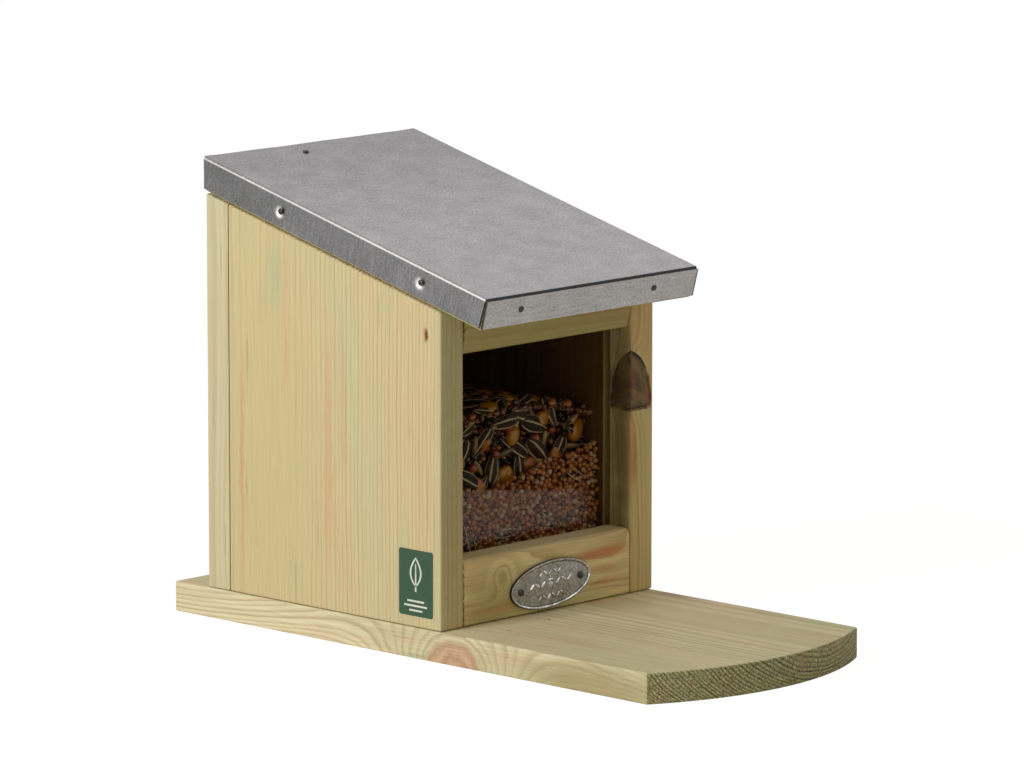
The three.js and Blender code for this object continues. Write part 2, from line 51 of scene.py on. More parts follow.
# sRGB hex to the linear colour that sockets take
def linear(colour):
    parts = [int(colour[i:i + 2], 16) / 255 for i in (1, 3, 5)]
    return tuple(c / 12.92 if c <= 0.04045 else ((c + 0.055) / 1.055) ** 2.4 for c in parts) + (1.0,)


# sets a node's inputs to values or hex colours, or links them to nodes or sockets
def wire(node, inputs):
    for key, value in inputs.items():
        if isinstance(value, bpy.types.Node):
            value = next(socket for socket in value.outputs if socket.enabled)
        if isinstance(value, bpy.types.NodeSocket):
            node.id_data.links.new(value, node.inputs[key])
        elif isinstance(value, str) and value.startswith("#"):
            node.inputs[key].default_value = linear(value)
        else:
            node.inputs[key].default_value = value


mainSetting = {
    "Math": "operation", "VectorMath": "operation", "MapRange": "interpolation_type", "Mix": "data_type",
    "RandomValue": "data_type", "StoreNamedAttribute": "data_type", "TexNoise": "noise_dimensions",
    "TexVoronoi": "feature", "Attribute": "attribute_name", "UVMap": "uv_map",
    "InputNamedAttribute": "data_type",
}


# Adds a node. Its name is its kind and, after a space, its main setting. Plain values fill its inputs in
# order, a last dictionary and capitalised names fill them by key, and other names are settings.
def addNode(tree, name, *values, **named):
    kind, *main = name.split()
    family = next(f for f in ("Shader", "Geometry", "Function") if hasattr(bpy.types, f"{f}Node{kind}"))
    node = tree.nodes.new(f"{family}Node{kind}")
    for value in main:
        setattr(node, mainSetting[kind], value)
    for key, value in named.items():
        if key[0].islower():
            setattr(node, key, value)
    keyed = values[-1] if values and isinstance(values[-1], dict) else {}
    wire(node, dict(enumerate(value for value in values if value is not keyed)))
    wire(node, {**keyed, **{key: value for key, value in named.items() if key[0].isupper()}})
    return node


# a material, with what adds nodes to it, and its shader
def newMaterial(name):
    material = bpy.data.materials.new(name)
    material.use_nodes = True
    tree = material.node_tree
    return material, partial(addNode, tree), tree.nodes["Principled BSDF"]


def showMixed(material, add, *values):
    wire(material.node_tree.nodes["Material Output"], {"Surface": add("MixShader", *values)})


def millimetres(add):
    return add("VectorMath SCALE", add("TexCoord").outputs["Object"], Scale=1 / mm)


# a geometry tree with its named inputs, what adds nodes to it, and what its inputs give
def newTree(name, floats, whole=()):
    tree = bpy.data.node_groups.new(name, "GeometryNodeTree")
    tree.interface.new_socket("Geometry", in_out="INPUT", socket_type="NodeSocketGeometry")
    for label in (*floats, *whole):
        kind = "Float" if label in floats else "Int"
        tree.interface.new_socket(label, in_out="INPUT", socket_type=f"NodeSocket{kind}")
    tree.interface.new_socket("Geometry", in_out="OUTPUT", socket_type="NodeSocketGeometry")
    return tree, partial(addNode, tree), tree.nodes.new("NodeGroupInput").outputs


# gives a material to what a tree lays, and sends it out
def endTree(tree, add, laid, material):
    laid = add("SetMaterial", Geometry=laid, Material=material)
    wire(tree.nodes.new("NodeGroupOutput"), {"Geometry": laid})
    return tree


def meshOf(skin, name):
    mesh = bpy.data.meshes.new(name)
    skin.to_mesh(mesh)
    skin.free()
    return mesh


def flatMesh(name, points, faces=()):
    mesh = bpy.data.meshes.new(name)
    mesh.from_pydata(points, [], faces)
    return mesh


def meshObject(name, mesh, material):
    piece = bpy.data.objects.new(name, mesh)
    scene.collection.objects.link(piece)
    mesh.materials.clear()
    mesh.materials.append(material)
    return piece


# turns a piece with modifiers into a plain mesh
def settle(piece):
    depsgraph = bpy.context.evaluated_depsgraph_get()
    mesh = bpy.data.meshes.new_from_object(piece.evaluated_get(depsgraph))
    piece.modifiers.clear()
    piece.data = mesh
    return piece


# runs a tree on a mesh with its named inputs, and keeps the plain result
def grow(name, mesh, tree, values, material):
    piece = meshObject(name, mesh, material)
    made = piece.modifiers.new("nodes", "NODES")
    made.node_group = tree
    for item in tree.interface.items_tree:
        if item.item_type == "SOCKET" and item.in_out == "INPUT" and item.name in values:
            made[item.identifier] = values[item.name]
    return settle(piece)


def dress(piece, body, slot, *nodes):
    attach(piece, body)
    if nodes:
        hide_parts(*nodes)
    return piece


def smooth(piece, degrees):
    piece.data.shade_smooth()
    piece.data.set_sharp_from_angle(angle=math.radians(degrees))
    return piece


# points on an arc, its angles in degrees
def arcPoints(centre, radius, start, sweep, steps):
    turns = [math.radians(start + sweep * step / steps) for step in range(steps + 1)]
    return [(centre[0] + radius * math.cos(turn), centre[1] + radius * math.sin(turn)) for turn in turns]


# places read from the frame
left, back, base = sizes["left_side_panel"], sizes["back_panel"], sizes["base_board"]
frontY = left[0].y
slope = math.atan2(back[1].z - left[1].z, back[1].y - left[1].y)
roofFrontZ = left[1].z - (left[1].y - frontY) * math.tan(slope)
lidFrame = Matrix.Translation((0, frontY, roofFrontZ)) @ Matrix.Rotation(slope, 4, "X")
halfWidth = back[1].x
paneRear = sizes["window_pane"][1].y


print("materials: wood")
noiseSpan = (0.3, 0.7)      # most of a noise lies in it
grainAxes = {"x": ("Y", "Z", "X"), "y": ("X", "Z", "Y"), "z": ("X", "Y", "Z")}
# What a board has unless it says otherwise. Sizes are in millimetres. A draw pulls in a pattern's places
# along the grain, so that a small draw makes it long. Spots: centre, radii, colour, strength.
plainBoard = {
    "stretch": (1, 1), "growth": 1.0, "bendSize": 32, "bendDraw": 0.25, "unevenSize": 7, "uneven": 3.5,
    "rippleSize": 4, "rippleDraw": 0.12, "ripple": 0.5, "paceScale": 0.31, "pace": 2.2, "ringStep": 3.71,
    "lateFrom": 0.3, "lateTo": 0.86, "lateEnd": 0.9, "faintest": 0.35, "endContrast": 0.9,
    "cloudDraw": 0.16, "cloudSpan": (0.45, 0.75), "clouds": (("green", 14, 7.3), ("pink", 9, 1.9)),
    "scribbleSize": 4.5, "spotCore": 0.2, "fibreSize": 0.7, "fibreDraw": 0.035, "ductSize": 1.1,
    "ductSpan": (0.69, 0.75), "ductShade": 0.8, "crumbSize": 0.75, "endShade": 0.8, "endCrumb": 0.45,
    "insidePaintedShade": "#a58a66", "relief": (0.025, 0.05, 0.35), "rough": (0.62, 0.78), "knots": [], "spots": [],
}
# what a knot has unless it says otherwise; distances from it are shares of its radii
plainKnot = {
    "sidePower": 1.6, "heightPower": 2.6, "footDepth": 10, "footReach": 1.8, "skinDepth": 0.8, "outer": 1.02,
    "patchSpan": (0.35, 0.55), "rimFaint": 0.3,
}


# Planed pine, pressure treated: pale earlywood with darker latewood lines, a green tinge from the
# treatment, orange-pink heartwood streaks and a dry, matt surface. Rings are a 3-D field round a pith line.
def pine(name, board):
    board = {**plainBoard, **board}
    material, add, shader = newMaterial(f"pressure treated pine, {name}")
    point = millimetres(add)
    parts = add("SeparateXYZ", point).outputs
    across, through, along = [parts[axis] for axis in grainAxes[board["grain"]]]
    seed = board["seed"]

    def drawn(share):
        return add("CombineXYZ", across, through, add("Math MULTIPLY", along, share))

    # a cloud's colour as a move to all sides
    def moved(cloud, strength):
        centred = add("VectorMath SUBTRACT", cloud.outputs["Color"], (0.5, 0.5, 0.5))
        return add("VectorMath SCALE", centred, Scale=strength)

    # slow bends of the whole ring pattern, then rings around the pith
    bends = drawn(board["bendDraw"])
    slow = add("TexNoise 4D", Vector=bends, W=seed, Scale=1 / board["bendSize"], Detail=2.0)
    flat = add("VectorMath ADD", add("CombineXYZ", across, through), moved(slow, board["wander"]))
    flat = add("VectorMath SUBTRACT", flat, (*board["pith"], 0))
    flat = add("VectorMath MULTIPLY", flat, (*board["stretch"], 0))
    radius = add("VectorMath LENGTH", flat).outputs["Value"]
    ring = add("Math POWER", add("Math DIVIDE", radius, board["ringWidth"]), board["growth"])

    # the grain runs round each knot, whose outline is a little uneven
    uneven = add("TexNoise", Vector=point, Scale=1 / board["unevenSize"], Detail=3.0)
    roughPoint = add("VectorMath ADD", point, moved(uneven, board["uneven"]))

    def offFrom(centre, radii):
        return add("VectorMath DIVIDE", add("VectorMath SUBTRACT", roughPoint, centre), radii)
    knots = []
    for knot in board["knots"]:
        knot = {**plainKnot, **knot}
        off = offFrom(knot["centre"], knot["radii"])
        far = add("VectorMath LENGTH", off).outputs["Value"]
        if "foot" in knot:
            # a knot cut at the board's corner: it runs up to a point and ends in a flat foot
            reach = add("SeparateXYZ", add("VectorMath ABSOLUTE", off)).outputs
            aside = add("Math POWER", add("Math ADD", reach["X"], reach["Y"]), knot["sidePower"])
            far = add("Math ADD", aside, add("Math POWER", reach["Z"], knot["heightPower"]))
            height = add("SeparateXYZ", roughPoint).outputs["Z"]
            foot, depth = knot["foot"], knot["footDepth"]
            under = add("MapRange", height, foot, foot - depth, 1.0, knot["footReach"], clamp=False)
            far = add("Math MAXIMUM", far, under)
        fall = add("Math MULTIPLY", add("Math MULTIPLY", far, far), -knot["spread"])
        fall = add("Math EXPONENT", fall)
        if "level" in knot:
            # rings that stand round the knot take the place of the board's own in its skin
            own = add("Math MULTIPLY_ADD", far, knot["rings"], knot["level"])
            skin = add("MapRange", parts["X"], knot["skin"], knot["skin"] + knot["skinDepth"], 1.0, 0.0)
            ring = add("Mix", add("Math MULTIPLY", fall, skin), {2: ring, 3: own})
        else:
            ring = add("Math MULTIPLY_ADD", fall, knot["rings"], ring)
        knots.append((knot, far))

    # small ripples, rings of uneven width, and the latewood line of each ring
    ripples = drawn(board["rippleDraw"])
    ripple = add("TexNoise 4D", Vector=ripples, W=seed, Scale=1 / board["rippleSize"], Detail=3.0)
    ring = add("Math MULTIPLY_ADD", ripple, board["ripple"], ring)
    pace = add("TexNoise 1D", W=ring, Scale=board["paceScale"], Detail=1.0)
    ring = add("Math MULTIPLY_ADD", pace, board["pace"], ring)
    part = add("Math FRACT", ring)
    rise = add("MapRange SMOOTHSTEP", part, board["lateFrom"], board["lateTo"])
    drop = add("MapRange SMOOTHSTEP", part, 1.0, board["lateEnd"])
    number = add("Math MULTIPLY", add("Math FLOOR", ring), board["ringStep"])
    tone = add("TexNoise 1D", W=number, Scale=1.0, Detail=0.0)
    tone = add("MapRange", tone, *noiseSpan, board["faintest"], 1.0)
    late = add("Math MULTIPLY", add("Math MULTIPLY", rise, drop), tone)
    cut = add("Attribute endGrain").outputs["Fac"]
    contrast = add("MapRange", cut, {3: board["contrast"], 4: board["endContrast"]})
    amount = add("Math MULTIPLY", late, contrast, use_clamp=True)
    earlyTone = add("Mix RGBA", cut, {6: board["early"], 7: board.get("endEarly", board["early"])})
    lateTone = add("Mix RGBA", cut, {6: board["late"], 7: board.get("endLate", board["late"])})
    colour = add("Mix RGBA", amount, {6: earlyTone, 7: lateTone})

    # broad green and orange-pink clouds, drawn out along the grain
    cloudPlace = drawn(board["cloudDraw"])
    for cloudName, width, shift in board["clouds"]:
        tint, amount = board[cloudName]
        cloud = add("TexNoise 4D", Vector=cloudPlace, W=seed + shift, Scale=1 / width, Detail=3.0)
        cloud = add("MapRange", cloud, *board["cloudSpan"], 0.0, amount)
        colour = add("Mix RGBA", cloud, {6: colour, 7: tint})

    # knots have rings of their own and a dark outline
    for knot, far in knots:
        wild, strength = knot["scribble"], knot["rimStrength"]
        scribble = add("TexNoise", Vector=point, Scale=1 / board["scribbleSize"], Detail=4.0)
        scribble = add("Math MULTIPLY", scribble, wild)
        inner = add("Math PINGPONG", add("Math MULTIPLY_ADD", far, knot["innerRings"], scribble), 1.0)
        inner = add("Mix RGBA", inner, {6: knot["light"], 7: knot["dark"]})
        within = add("MapRange SMOOTHSTEP", far, knot["outer"], knot["edge"], {4: knot["strength"]})
        colour = add("Mix RGBA", within, {6: colour, 7: inner})
        rim = add("Math COMPARE", far, 1.0, knot["rimWidth"])
        low, high = [share * wild for share in knot["patchSpan"]]
        patchy = add("MapRange", scribble, low, high, knot["rimFaint"] * strength, strength)
        rim = add("Math MULTIPLY", rim, patchy)
        colour = add("Mix RGBA", rim, {6: colour, 7: knot["rim"]})

    # streaks and marks at their own places
    for centre, radii, tint, strength in board["spots"]:
        far = add("VectorMath LENGTH", offFrom(centre, radii)).outputs["Value"]
        within = add("MapRange SMOOTHSTEP", far, 1.0, board["spotCore"], 0.0, strength)
        colour = add("Mix RGBA", within, {6: colour, 7: tint})

    # fibres, coarse enough to show, and short dark resin ducts
    fibrePlace = drawn(board["fibreDraw"])
    fibre = add("TexNoise", Vector=fibrePlace, Scale=1 / board["fibreSize"], Detail=2.0)
    shade = add("MapRange", fibre, *noiseSpan, 1 - board["fibre"], 1 + board["fibre"])
    duct = add("TexNoise 4D", Vector=fibrePlace, Scale=1 / board["ductSize"], Detail=1.0, W=seed)
    duct = add("MapRange", duct, *board["ductSpan"], 1.0, board["ductShade"])
    shade = add("Math MULTIPLY", shade, duct)
    # sawn end grain is darker and coarse
    crumb = add("TexNoise", Vector=point, Scale=1 / board["crumbSize"], Detail=2.0)
    dark, pale = [board["endShade"] + way * board["endCrumb"] for way in (-1, 1)]
    crumbShade = add("MapRange", crumb, *noiseSpan, dark, pale)
    shade = add("Math MULTIPLY", shade, add("Mix", cut, {2: 1.0, 3: crumbShade}))
    colour = add("VectorMath SCALE", colour, Scale=shade)
    # the wood behind the pane is painted darker and browner: a painted shade for the inside of the box
    inside = add("Attribute inside").outputs["Fac"]
    stainAndPaintedShade = add("Mix RGBA", inside, {6: (1, 1, 1, 1), 7: board["insidePaintedShade"]})
    colour = add("VectorMath MULTIPLY", colour, stainAndPaintedShade)

    # planed relief of a few hundredths of a millimetre, deeper on sawn ends
    lateHigh, fibreHigh, crumbHigh = board["relief"]
    height = add("Math MULTIPLY", late, lateHigh)
    height = add("Math MULTIPLY_ADD", fibre, fibreHigh, height)
    height = add("Math MULTIPLY_ADD", add("Math MULTIPLY", crumb, cut), crumbHigh, height)
    bump = add("Bump", Height=height, Distance=mm, Strength=0.8)
    rough = add("MapRange", fibre, *noiseSpan, *board["rough"])
    wire(shader, {"Base Color": colour, "Normal": bump, "Roughness": rough, "Specular IOR Level": 0.3})
    return material


planingSettings = {
    "weld": 0.002, "sharp": 40, "segments": 3, "flatTo": 1, "endGain": 2.5, "endFrom": 1.1, "level": 0.5,
}


# a CAD node's mesh as one closed skin
def skinOf(node):
    skin = bmesh.new()
    skin.from_mesh(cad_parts[node].data)
    bmesh.ops.remove_doubles(skin, verts=skin.verts, dist=planingSettings["weld"] * mm)
    return skin


# Rounds a board's sharp edges. Faces across the grain then carry 1 in the attribute endGrain, and faces
# that look into the box behind the pane carry 1 in the attribute inside.
def planed(skin, name, direction, rounding, longerThan=0):
    settings = planingSettings
    sharp = [e for e in skin.edges
             if len(e.link_faces) == 2 and e.calc_face_angle() > math.radians(settings["sharp"])
             and e.calc_length() > longerThan * mm]
    bmesh.ops.bevel(skin, geom=sharp, offset=rounding * mm, segments=settings["segments"], profile=0.5,
                    affect="EDGES", clamp_overlap=True)
    mesh = meshOf(skin, name)
    middleY = (back[0].y + paneRear) / 2
    ends, inside = [], []
    for face in mesh.polygons:
        across = abs(face.normal.dot(direction)) * settings["endGain"] - settings["endFrom"]
        ends.append(min(1, max(0, across)))
        toMiddle = Vector((-face.center.x, middleY - face.center.y, 0))
        upright = abs(face.normal.z) < settings["level"]
        inside.append(float(face.normal.dot(toMiddle) > 0 and upright and face.center.y > paneRear))
    for label, values in (("endGrain", ends), ("inside", inside)):
        mesh.attributes.new(label, "FLOAT", "FACE").data.foreach_set("value", values)
    return mesh


def boardCopy(node, direction, rounding, longerThan):
    skin = skinOf(node)
    flat = math.radians(planingSettings["flatTo"])
    bmesh.ops.dissolve_limit(skin, angle_limit=flat, verts=skin.verts, edges=skin.edges)
    return planed(skin, node, direction, rounding, longerThan)


# closes rings of verts into a solid: a cap on each end and a band between neighbours
def closeRings(skin, rings):
    skin.faces.new(rings[0][::-1])
    skin.faces.new(rings[-1])
    for ring, after in zip(rings, rings[1:]):
        for i in range(len(ring)):
            j = (i + 1) % len(ring)
            skin.faces.new((ring[i], ring[j], after[j], after[i]))
    bmesh.ops.recalc_face_normals(skin, faces=skin.faces)


# an outline in two axes, drawn out along the third
def prism(outline, axis, low, high):
    order = {"x": (2, 0, 1), "y": (0, 2, 1), "z": (0, 1, 2)}[axis]
    skin = bmesh.new()
    rings = []
    for level in (low, high):
        places = [(point[0], point[1], level) for point in outline]
        rings.append([skin.verts.new([place[i] for i in order]) for place in places])
    closeRings(skin, rings)
    return skin


print("boards")
axisOf = {"x": Vector((1, 0, 0)), "y": Vector((0, 1, 0)), "z": Vector((0, 0, 1))}
lidAlong = lidFrame.to_3x3() @ axisOf["y"]

baseSettings = {
    "grain": "y", "seed": 2.0, "pith": (30, 27), "stretch": (0.53, 1.0), "ringWidth": 8.5, "growth": 2.0,
    "wander": 4, "ripple": 0.25, "pace": 0.8, "contrast": 0.6, "endContrast": 1.05, "faintest": 0.6,
    "early": "#e8ddb8", "late": "#b09970", "endEarly": "#d6d19a", "endLate": "#4c4826", "endShade": 0.72,
    "green": ("#b4bd8c", 0.5), "pink": ("#cda382", 0.4), "fibre": 0.09,
    "knots": [
        {"centre": (-60, -19, -1.5), "radii": (8, 15.5, 11.5), "spread": 0.057, "rings": 4.4, "level": 28,
         "skin": -58.5, "innerRings": 5, "light": "#dcb292", "dark": "#b98a6a", "edge": 0.8, "strength": 0.8,
         "scribble": 1.6, "rim": "#c19a72", "rimWidth": 0.03, "rimStrength": 0.35},
    ],
    "spots": [
        ((-60, -92, 3), (7, 56, 13), "#a89a6a", 0.75),
        ((30, -75, 12), (24, 90, 4), "#ded1a9", 0.7),
        ((56, -26, 12), (3, 14, 3), "#8d6446", 0.5),
        ((-38, -28, 12), (0.9, 1.4, 1), "#5f4a34", 0.9),
        ((-12, -24, 12), (0.8, 1.2, 1), "#6b5138", 0.8),
    ],
    "rounding": 0.7, "arcSteps": 72, "startRise": 16,
}


def baseBoard(settings):
    low, high = base
    rise = settings["startRise"] * mm
    radius = (halfWidth ** 2 + rise ** 2) / (2 * rise)
    centreY = low.y + radius
    reach = math.asin(halfWidth / radius)
    outline = [(high.x, high.y), (low.x, high.y)]
    for step in range(settings["arcSteps"] + 1):
        turn = -reach + 2 * reach * step / settings["arcSteps"]
        outline.append((radius * math.sin(turn), centreY - radius * math.cos(turn)))
    skin = prism(outline, "z", low.z, high.z)
    mesh = planed(skin, "landing_board", axisOf["y"], settings["rounding"])
    return meshObject("landing_board", mesh, pine("base board", settings))


dress(baseBoard(baseSettings), "box", "softwood", "base_board")

leftSettings = {
    "grain": "z", "seed": 5.0, "pith": (70, 140), "ringWidth": 1.4, "wander": 2.6, "ripple": 0.3, "pace": 0.6,
    "lateFrom": 0.6, "contrast": 0.78, "faintest": 0.4, "early": "#d6c79a", "late": "#b9986a",
    "green": ("#c4ca9e", 0.65), "pink": ("#dcb490", 0.35), "fibre": 0.06,
    "spots": [
        ((-59, 84, 70), (5, 46, 150), "#d3c394", 0.95),
        ((-52, -13, 75), (10, 3.4, 120), "#857a3a", 0.28),
        ((-59, 95.5, 62), (5, 1.7, 74), "#dba47e", 0.6),
        ((-59, 71, 120), (5, 3.0, 44), "#dcb08a", 0.4),
        ((-59, 48, 72), (5, 3.2, 66), "#dba680", 0.45),
        ((-59, 40, 96), (5, 2.0, 52), "#dba680", 0.35),
        ((-59, 77, 140), (5, 6, 20), "#b9c296", 0.6),
        ((-59, -4.5, 125), (2, 1.5, 4.4), "#6e2f14", 1.0),
    ],
    "rounding": 0.8,
}
rightSettings = {
    "grain": "z", "seed": 9.0, "pith": (-18, 80), "ringWidth": 1.9, "wander": 6, "contrast": 0.5,
    "early": "#e6cf98", "late": "#ac844e", "green": ("#b9b476", 0.5), "pink": ("#cf9a70", 0.5),
    "fibre": 0.08, "uneven": 2.0,
    "knots": [
        {"centre": (46.5, -12, 84.5), "radii": (11.2, 10.5, 22.5), "foot": 84.5, "spread": 0.7, "rings": 3,
         "innerRings": 2.4, "scribble": 5, "light": "#80664a", "dark": "#3a2716", "edge": 0.94,
         "strength": 0.92, "rim": "#1c1009", "rimWidth": 0.06, "rimStrength": 1.0},
    ],
    "spots": [
        # a dark olive strip down the inner face near the front edge: painted shade
        ((46, -6, 75), (2.2, 9, 110), "#5c4c26", 0.7),
        ((46, -3, 93), (2.4, 9, 11), "#33241a", 0.7),
        ((48, -12, 66), (2.4, 6, 20), "#c47c50", 0.7),
        ((48, -12, 96), (1.6, 4, 6), "#a5523a", 0.5),
        ((57, -12, 90), (1.4, 4, 9), "#8c3f30", 0.6),
    ],
    "rounding": 0.8,
}
backSettings = {
    "grain": "z", "seed": 14.0, "pith": (12, 170), "ringWidth": 2.6, "wander": 9, "contrast": 0.4,
    "early": "#d7cda8", "late": "#b59e72", "green": ("#c5cda8", 0.65), "pink": ("#d8b290", 0.3),
    "fibre": 0.04, "rounding": 0.7,
}
lidBoardSettings = {
    "grain": "y", "seed": 21.0, "pith": (-10, 230), "ringWidth": 2.4, "wander": 9, "contrast": 0.4,
    "early": "#d6c988", "late": "#b09558", "green": ("#c3c684", 0.6), "pink": ("#cfa57c", 0.3),
    "fibre": 0.05, "rounding": 0.5,
}
# the rail's colours are darker than the other boards': a painted shade for the shadow under the lid's front
railSettings = {
    "grain": "x", "seed": 25.0, "pith": (30, 190), "ringWidth": 2.0, "wander": 6, "contrast": 0.45,
    "early": "#b8a86f", "late": "#8c7448", "green": ("#a5ac72", 0.7), "pink": ("#c69a70", 0.3),
    "fibre": 0.06, "rounding": 0.6,
}
shortestEdge = 5
for node, name, body, settings, direction in (
    ("left_side_panel", "left_panel", "box", leftSettings, axisOf["z"]),
    ("right_side_panel", "right_panel", "box", rightSettings, axisOf["z"]),
    ("back_panel", "rear_panel", "box", backSettings, axisOf["z"]),
    ("lid_board", "lid_core_board", "lid", lidBoardSettings, lidAlong),
    ("lid_rail", "lid_batten", "lid", railSettings, axisOf["x"]),
):
    mesh = boardCopy(node, direction, settings["rounding"], shortestEdge)
    piece = meshObject(name, mesh, pine(name.replace("_", " "), settings))
    dress(piece, body, "softwood", node)

sillSettings = {
    "grain": "x", "seed": 31.0, "pith": (25, 34), "ringWidth": 1.5, "wander": 6, "bendDraw": 0.5,
    "contrast": 0.7, "uneven": 1.8, "early": "#f4e4ae", "late": "#b29460", "green": ("#bcc084", 0.6),
    "pink": ("#d69a6a", 0.4), "fibre": 0.08,
    "knots": [
        {"centre": (-25, -12, 29), "radii": (5, 30, 4.5), "spread": 0.5, "rings": 2.4, "innerRings": 2,
         "scribble": 0.6, "light": "#b9aa70", "dark": "#a8955e", "edge": 0.2, "strength": 0.15,
         "rim": "#8f7c4c", "rimWidth": 0.02, "rimStrength": 0.0},
    ],
    "spots": [
        ((-30, -12, 20), (26, 5, 17), "#a0985f", 0.55),
        ((30, -12, 30.5), (23, 5, 3.4), "#d5814f", 0.75),
        ((32, -12, 24.5), (14, 5, 2.2), "#cf8c5e", 0.45),
        ((32, -12, 19), (15, 5, 2.2), "#cc8152", 0.45),
        # a pale band along the eased top edge: a painted highlight for the light that falls on it
        ((0, -5, 38.6), (70, 9, 3.4), "#fff3cc", 0.9),
        ((-26, -12, 16.5), (15, 5, 2.0), "#cf9062", 0.45),
    ],
    "ease": 2.5, "easeSteps": 8, "rounding": 0.7, "joint": 0.2,
}


def frontSill(settings):
    # the joints round the board are a little open
    joint = settings["joint"] * mm
    low = sizes["front_sill"][0] + Vector((joint, 0, joint))
    high = sizes["front_sill"][1] - Vector((joint, 0, 0))
    ease = settings["ease"] * mm
    outline = [(low.y, low.z), (high.y, low.z), (high.y, high.z)]
    outline += arcPoints((low.y + ease, high.z - ease), ease, 90, 90, settings["easeSteps"])
    skin = prism(outline, "x", low.x, high.x)
    mesh = planed(skin, "window_sill", axisOf["x"], settings["rounding"])
    return meshObject("window_sill", mesh, pine("sill", settings))


dress(frontSill(sillSettings), "box", "softwood", "front_sill")


print("sheet cover")
coverSettings = {
    "bend": 1.1, "thickness": 0.6, "low": 1.15, "top": 13.2, "frontEdge": -21.6, "side": 58.6,
    "rearY": 117.1, "slitTop": 1.15, "slitLow": 1.7, "slitInset": 0.12, "tab": 12, "tabSteps": 8, "step": 1.0,
    "acrossStep": 1.5, "bendSteps": 5, "skirtRows": 16, "wave": 0.22, "waveLength": 23, "waveHeight": 9,
    "dentReach": 3.3, "dentDepth": 1.05, "topDentDepth": 0.3, "flatEdge": 8, "foldPaintedLight": 0.4, "dentShine": 2.2,
    "shineWay": (0.8, -0.6), "shineEven": 0.4, "foldShadow": 1.0, "leanIn": 0.2, "frontWave": 0.5,
    "weld": 0.004, "smoothTo": 40,
}


# Hot-dip galvanised sheet, dull from age: a grey, finely mottled skin with faint roller streaks that
# run across the roof and on down the side skirts. The map "sheet" is the flat blank in millimetres.
def galvanised():
    material, add, shader = newMaterial("hot-dip galvanised sheet, dulled")
    blank = add("UVMap sheet").outputs["UV"]
    parts = add("SeparateXYZ", blank).outputs
    side = add("Attribute skirt").outputs["Fac"]
    # spangle crystals about 5 mm wide, weak under the dull skin
    spangle = add("TexVoronoi SMOOTH_F1", Vector=blank, Scale=1 / 5).outputs["Color"]
    spangle = add("SeparateColor", spangle).outputs["Red"]
    mottle = add("TexNoise", Vector=blank, Scale=1 / 0.9, Detail=5.0)
    patch = add("TexNoise", Vector=blank, Scale=1 / 13, Detail=4.0, Roughness=0.6)
    # streaks about a millimetre wide and some 10 mm long, along the rolling direction
    long = add("Math MULTIPLY", parts["X"], 0.09)
    streak = add("TexNoise", Vector=add("CombineXYZ", long, parts["Y"]), Scale=1 / 1.1, Detail=3.0)
    depth = add("MapRange", side, {3: 0.05, 4: 0.14})
    shade = add("MapRange", mottle, *noiseSpan, 0.72, 1.28)
    for factor in (
        add("MapRange", streak, *noiseSpan, add("Math SUBTRACT", 1.0, depth), add("Math ADD", 1.0, depth)),
        add("MapRange", spangle, {3: 0.97, 4: 1.03}),
        add("MapRange", patch, *noiseSpan, 0.88, 1.08),
        add("MapRange", parts["Y"], 50.0, 120.0, 1.0, 0.84),
    ):
        shade = add("Math MULTIPLY", shade, factor)
    # painted shade and light: the side skirts are painted a darker grey and the front skirt a lighter grey
    # than the roof, for how the light falls on each
    tone = add("Mix RGBA", add("MapRange", side, 0.0, 0.5), {6: "#a6a4a4", 7: "#b0adaa"})
    tone = add("Mix RGBA", add("MapRange", side, 0.5, 1.0), {6: tone, 7: "#7c7b7b"})
    tone = add("VectorMath SCALE", tone, Scale=shade)
    # a painted highlight on the lower half of the long folds and below the nails, and painted shade on their
    # upper half and at the front
    worn = add("Attribute worn").outputs["Fac"]
    bright = add("MapRange", worn, 0.0, 1.0)
    tone = add("Mix RGBA", bright, {6: tone, 7: "#eeeeec"})
    tone = add("VectorMath SCALE", tone, Scale=add("MapRange", worn, 0.0, -1.0, 1.0, 0.1))
    rough = add("MapRange", mottle, *noiseSpan, 0.5, 0.64)
    rough = add("Mix", bright, {2: rough, 3: 0.36})
    bump = add("Bump", Height=mottle, Distance=0.03 * mm, Strength=0.6)
    wire(shader, {"Base Color": tone, "Roughness": rough, "Normal": bump, "Metallic": 1.0})
    return material


# where a nail is in the lid's frame, in millimetres
def lidPoint(node):
    low, high = sizes[node]
    return (lidFrame.inverted() @ ((low + high) / 2)) / mm
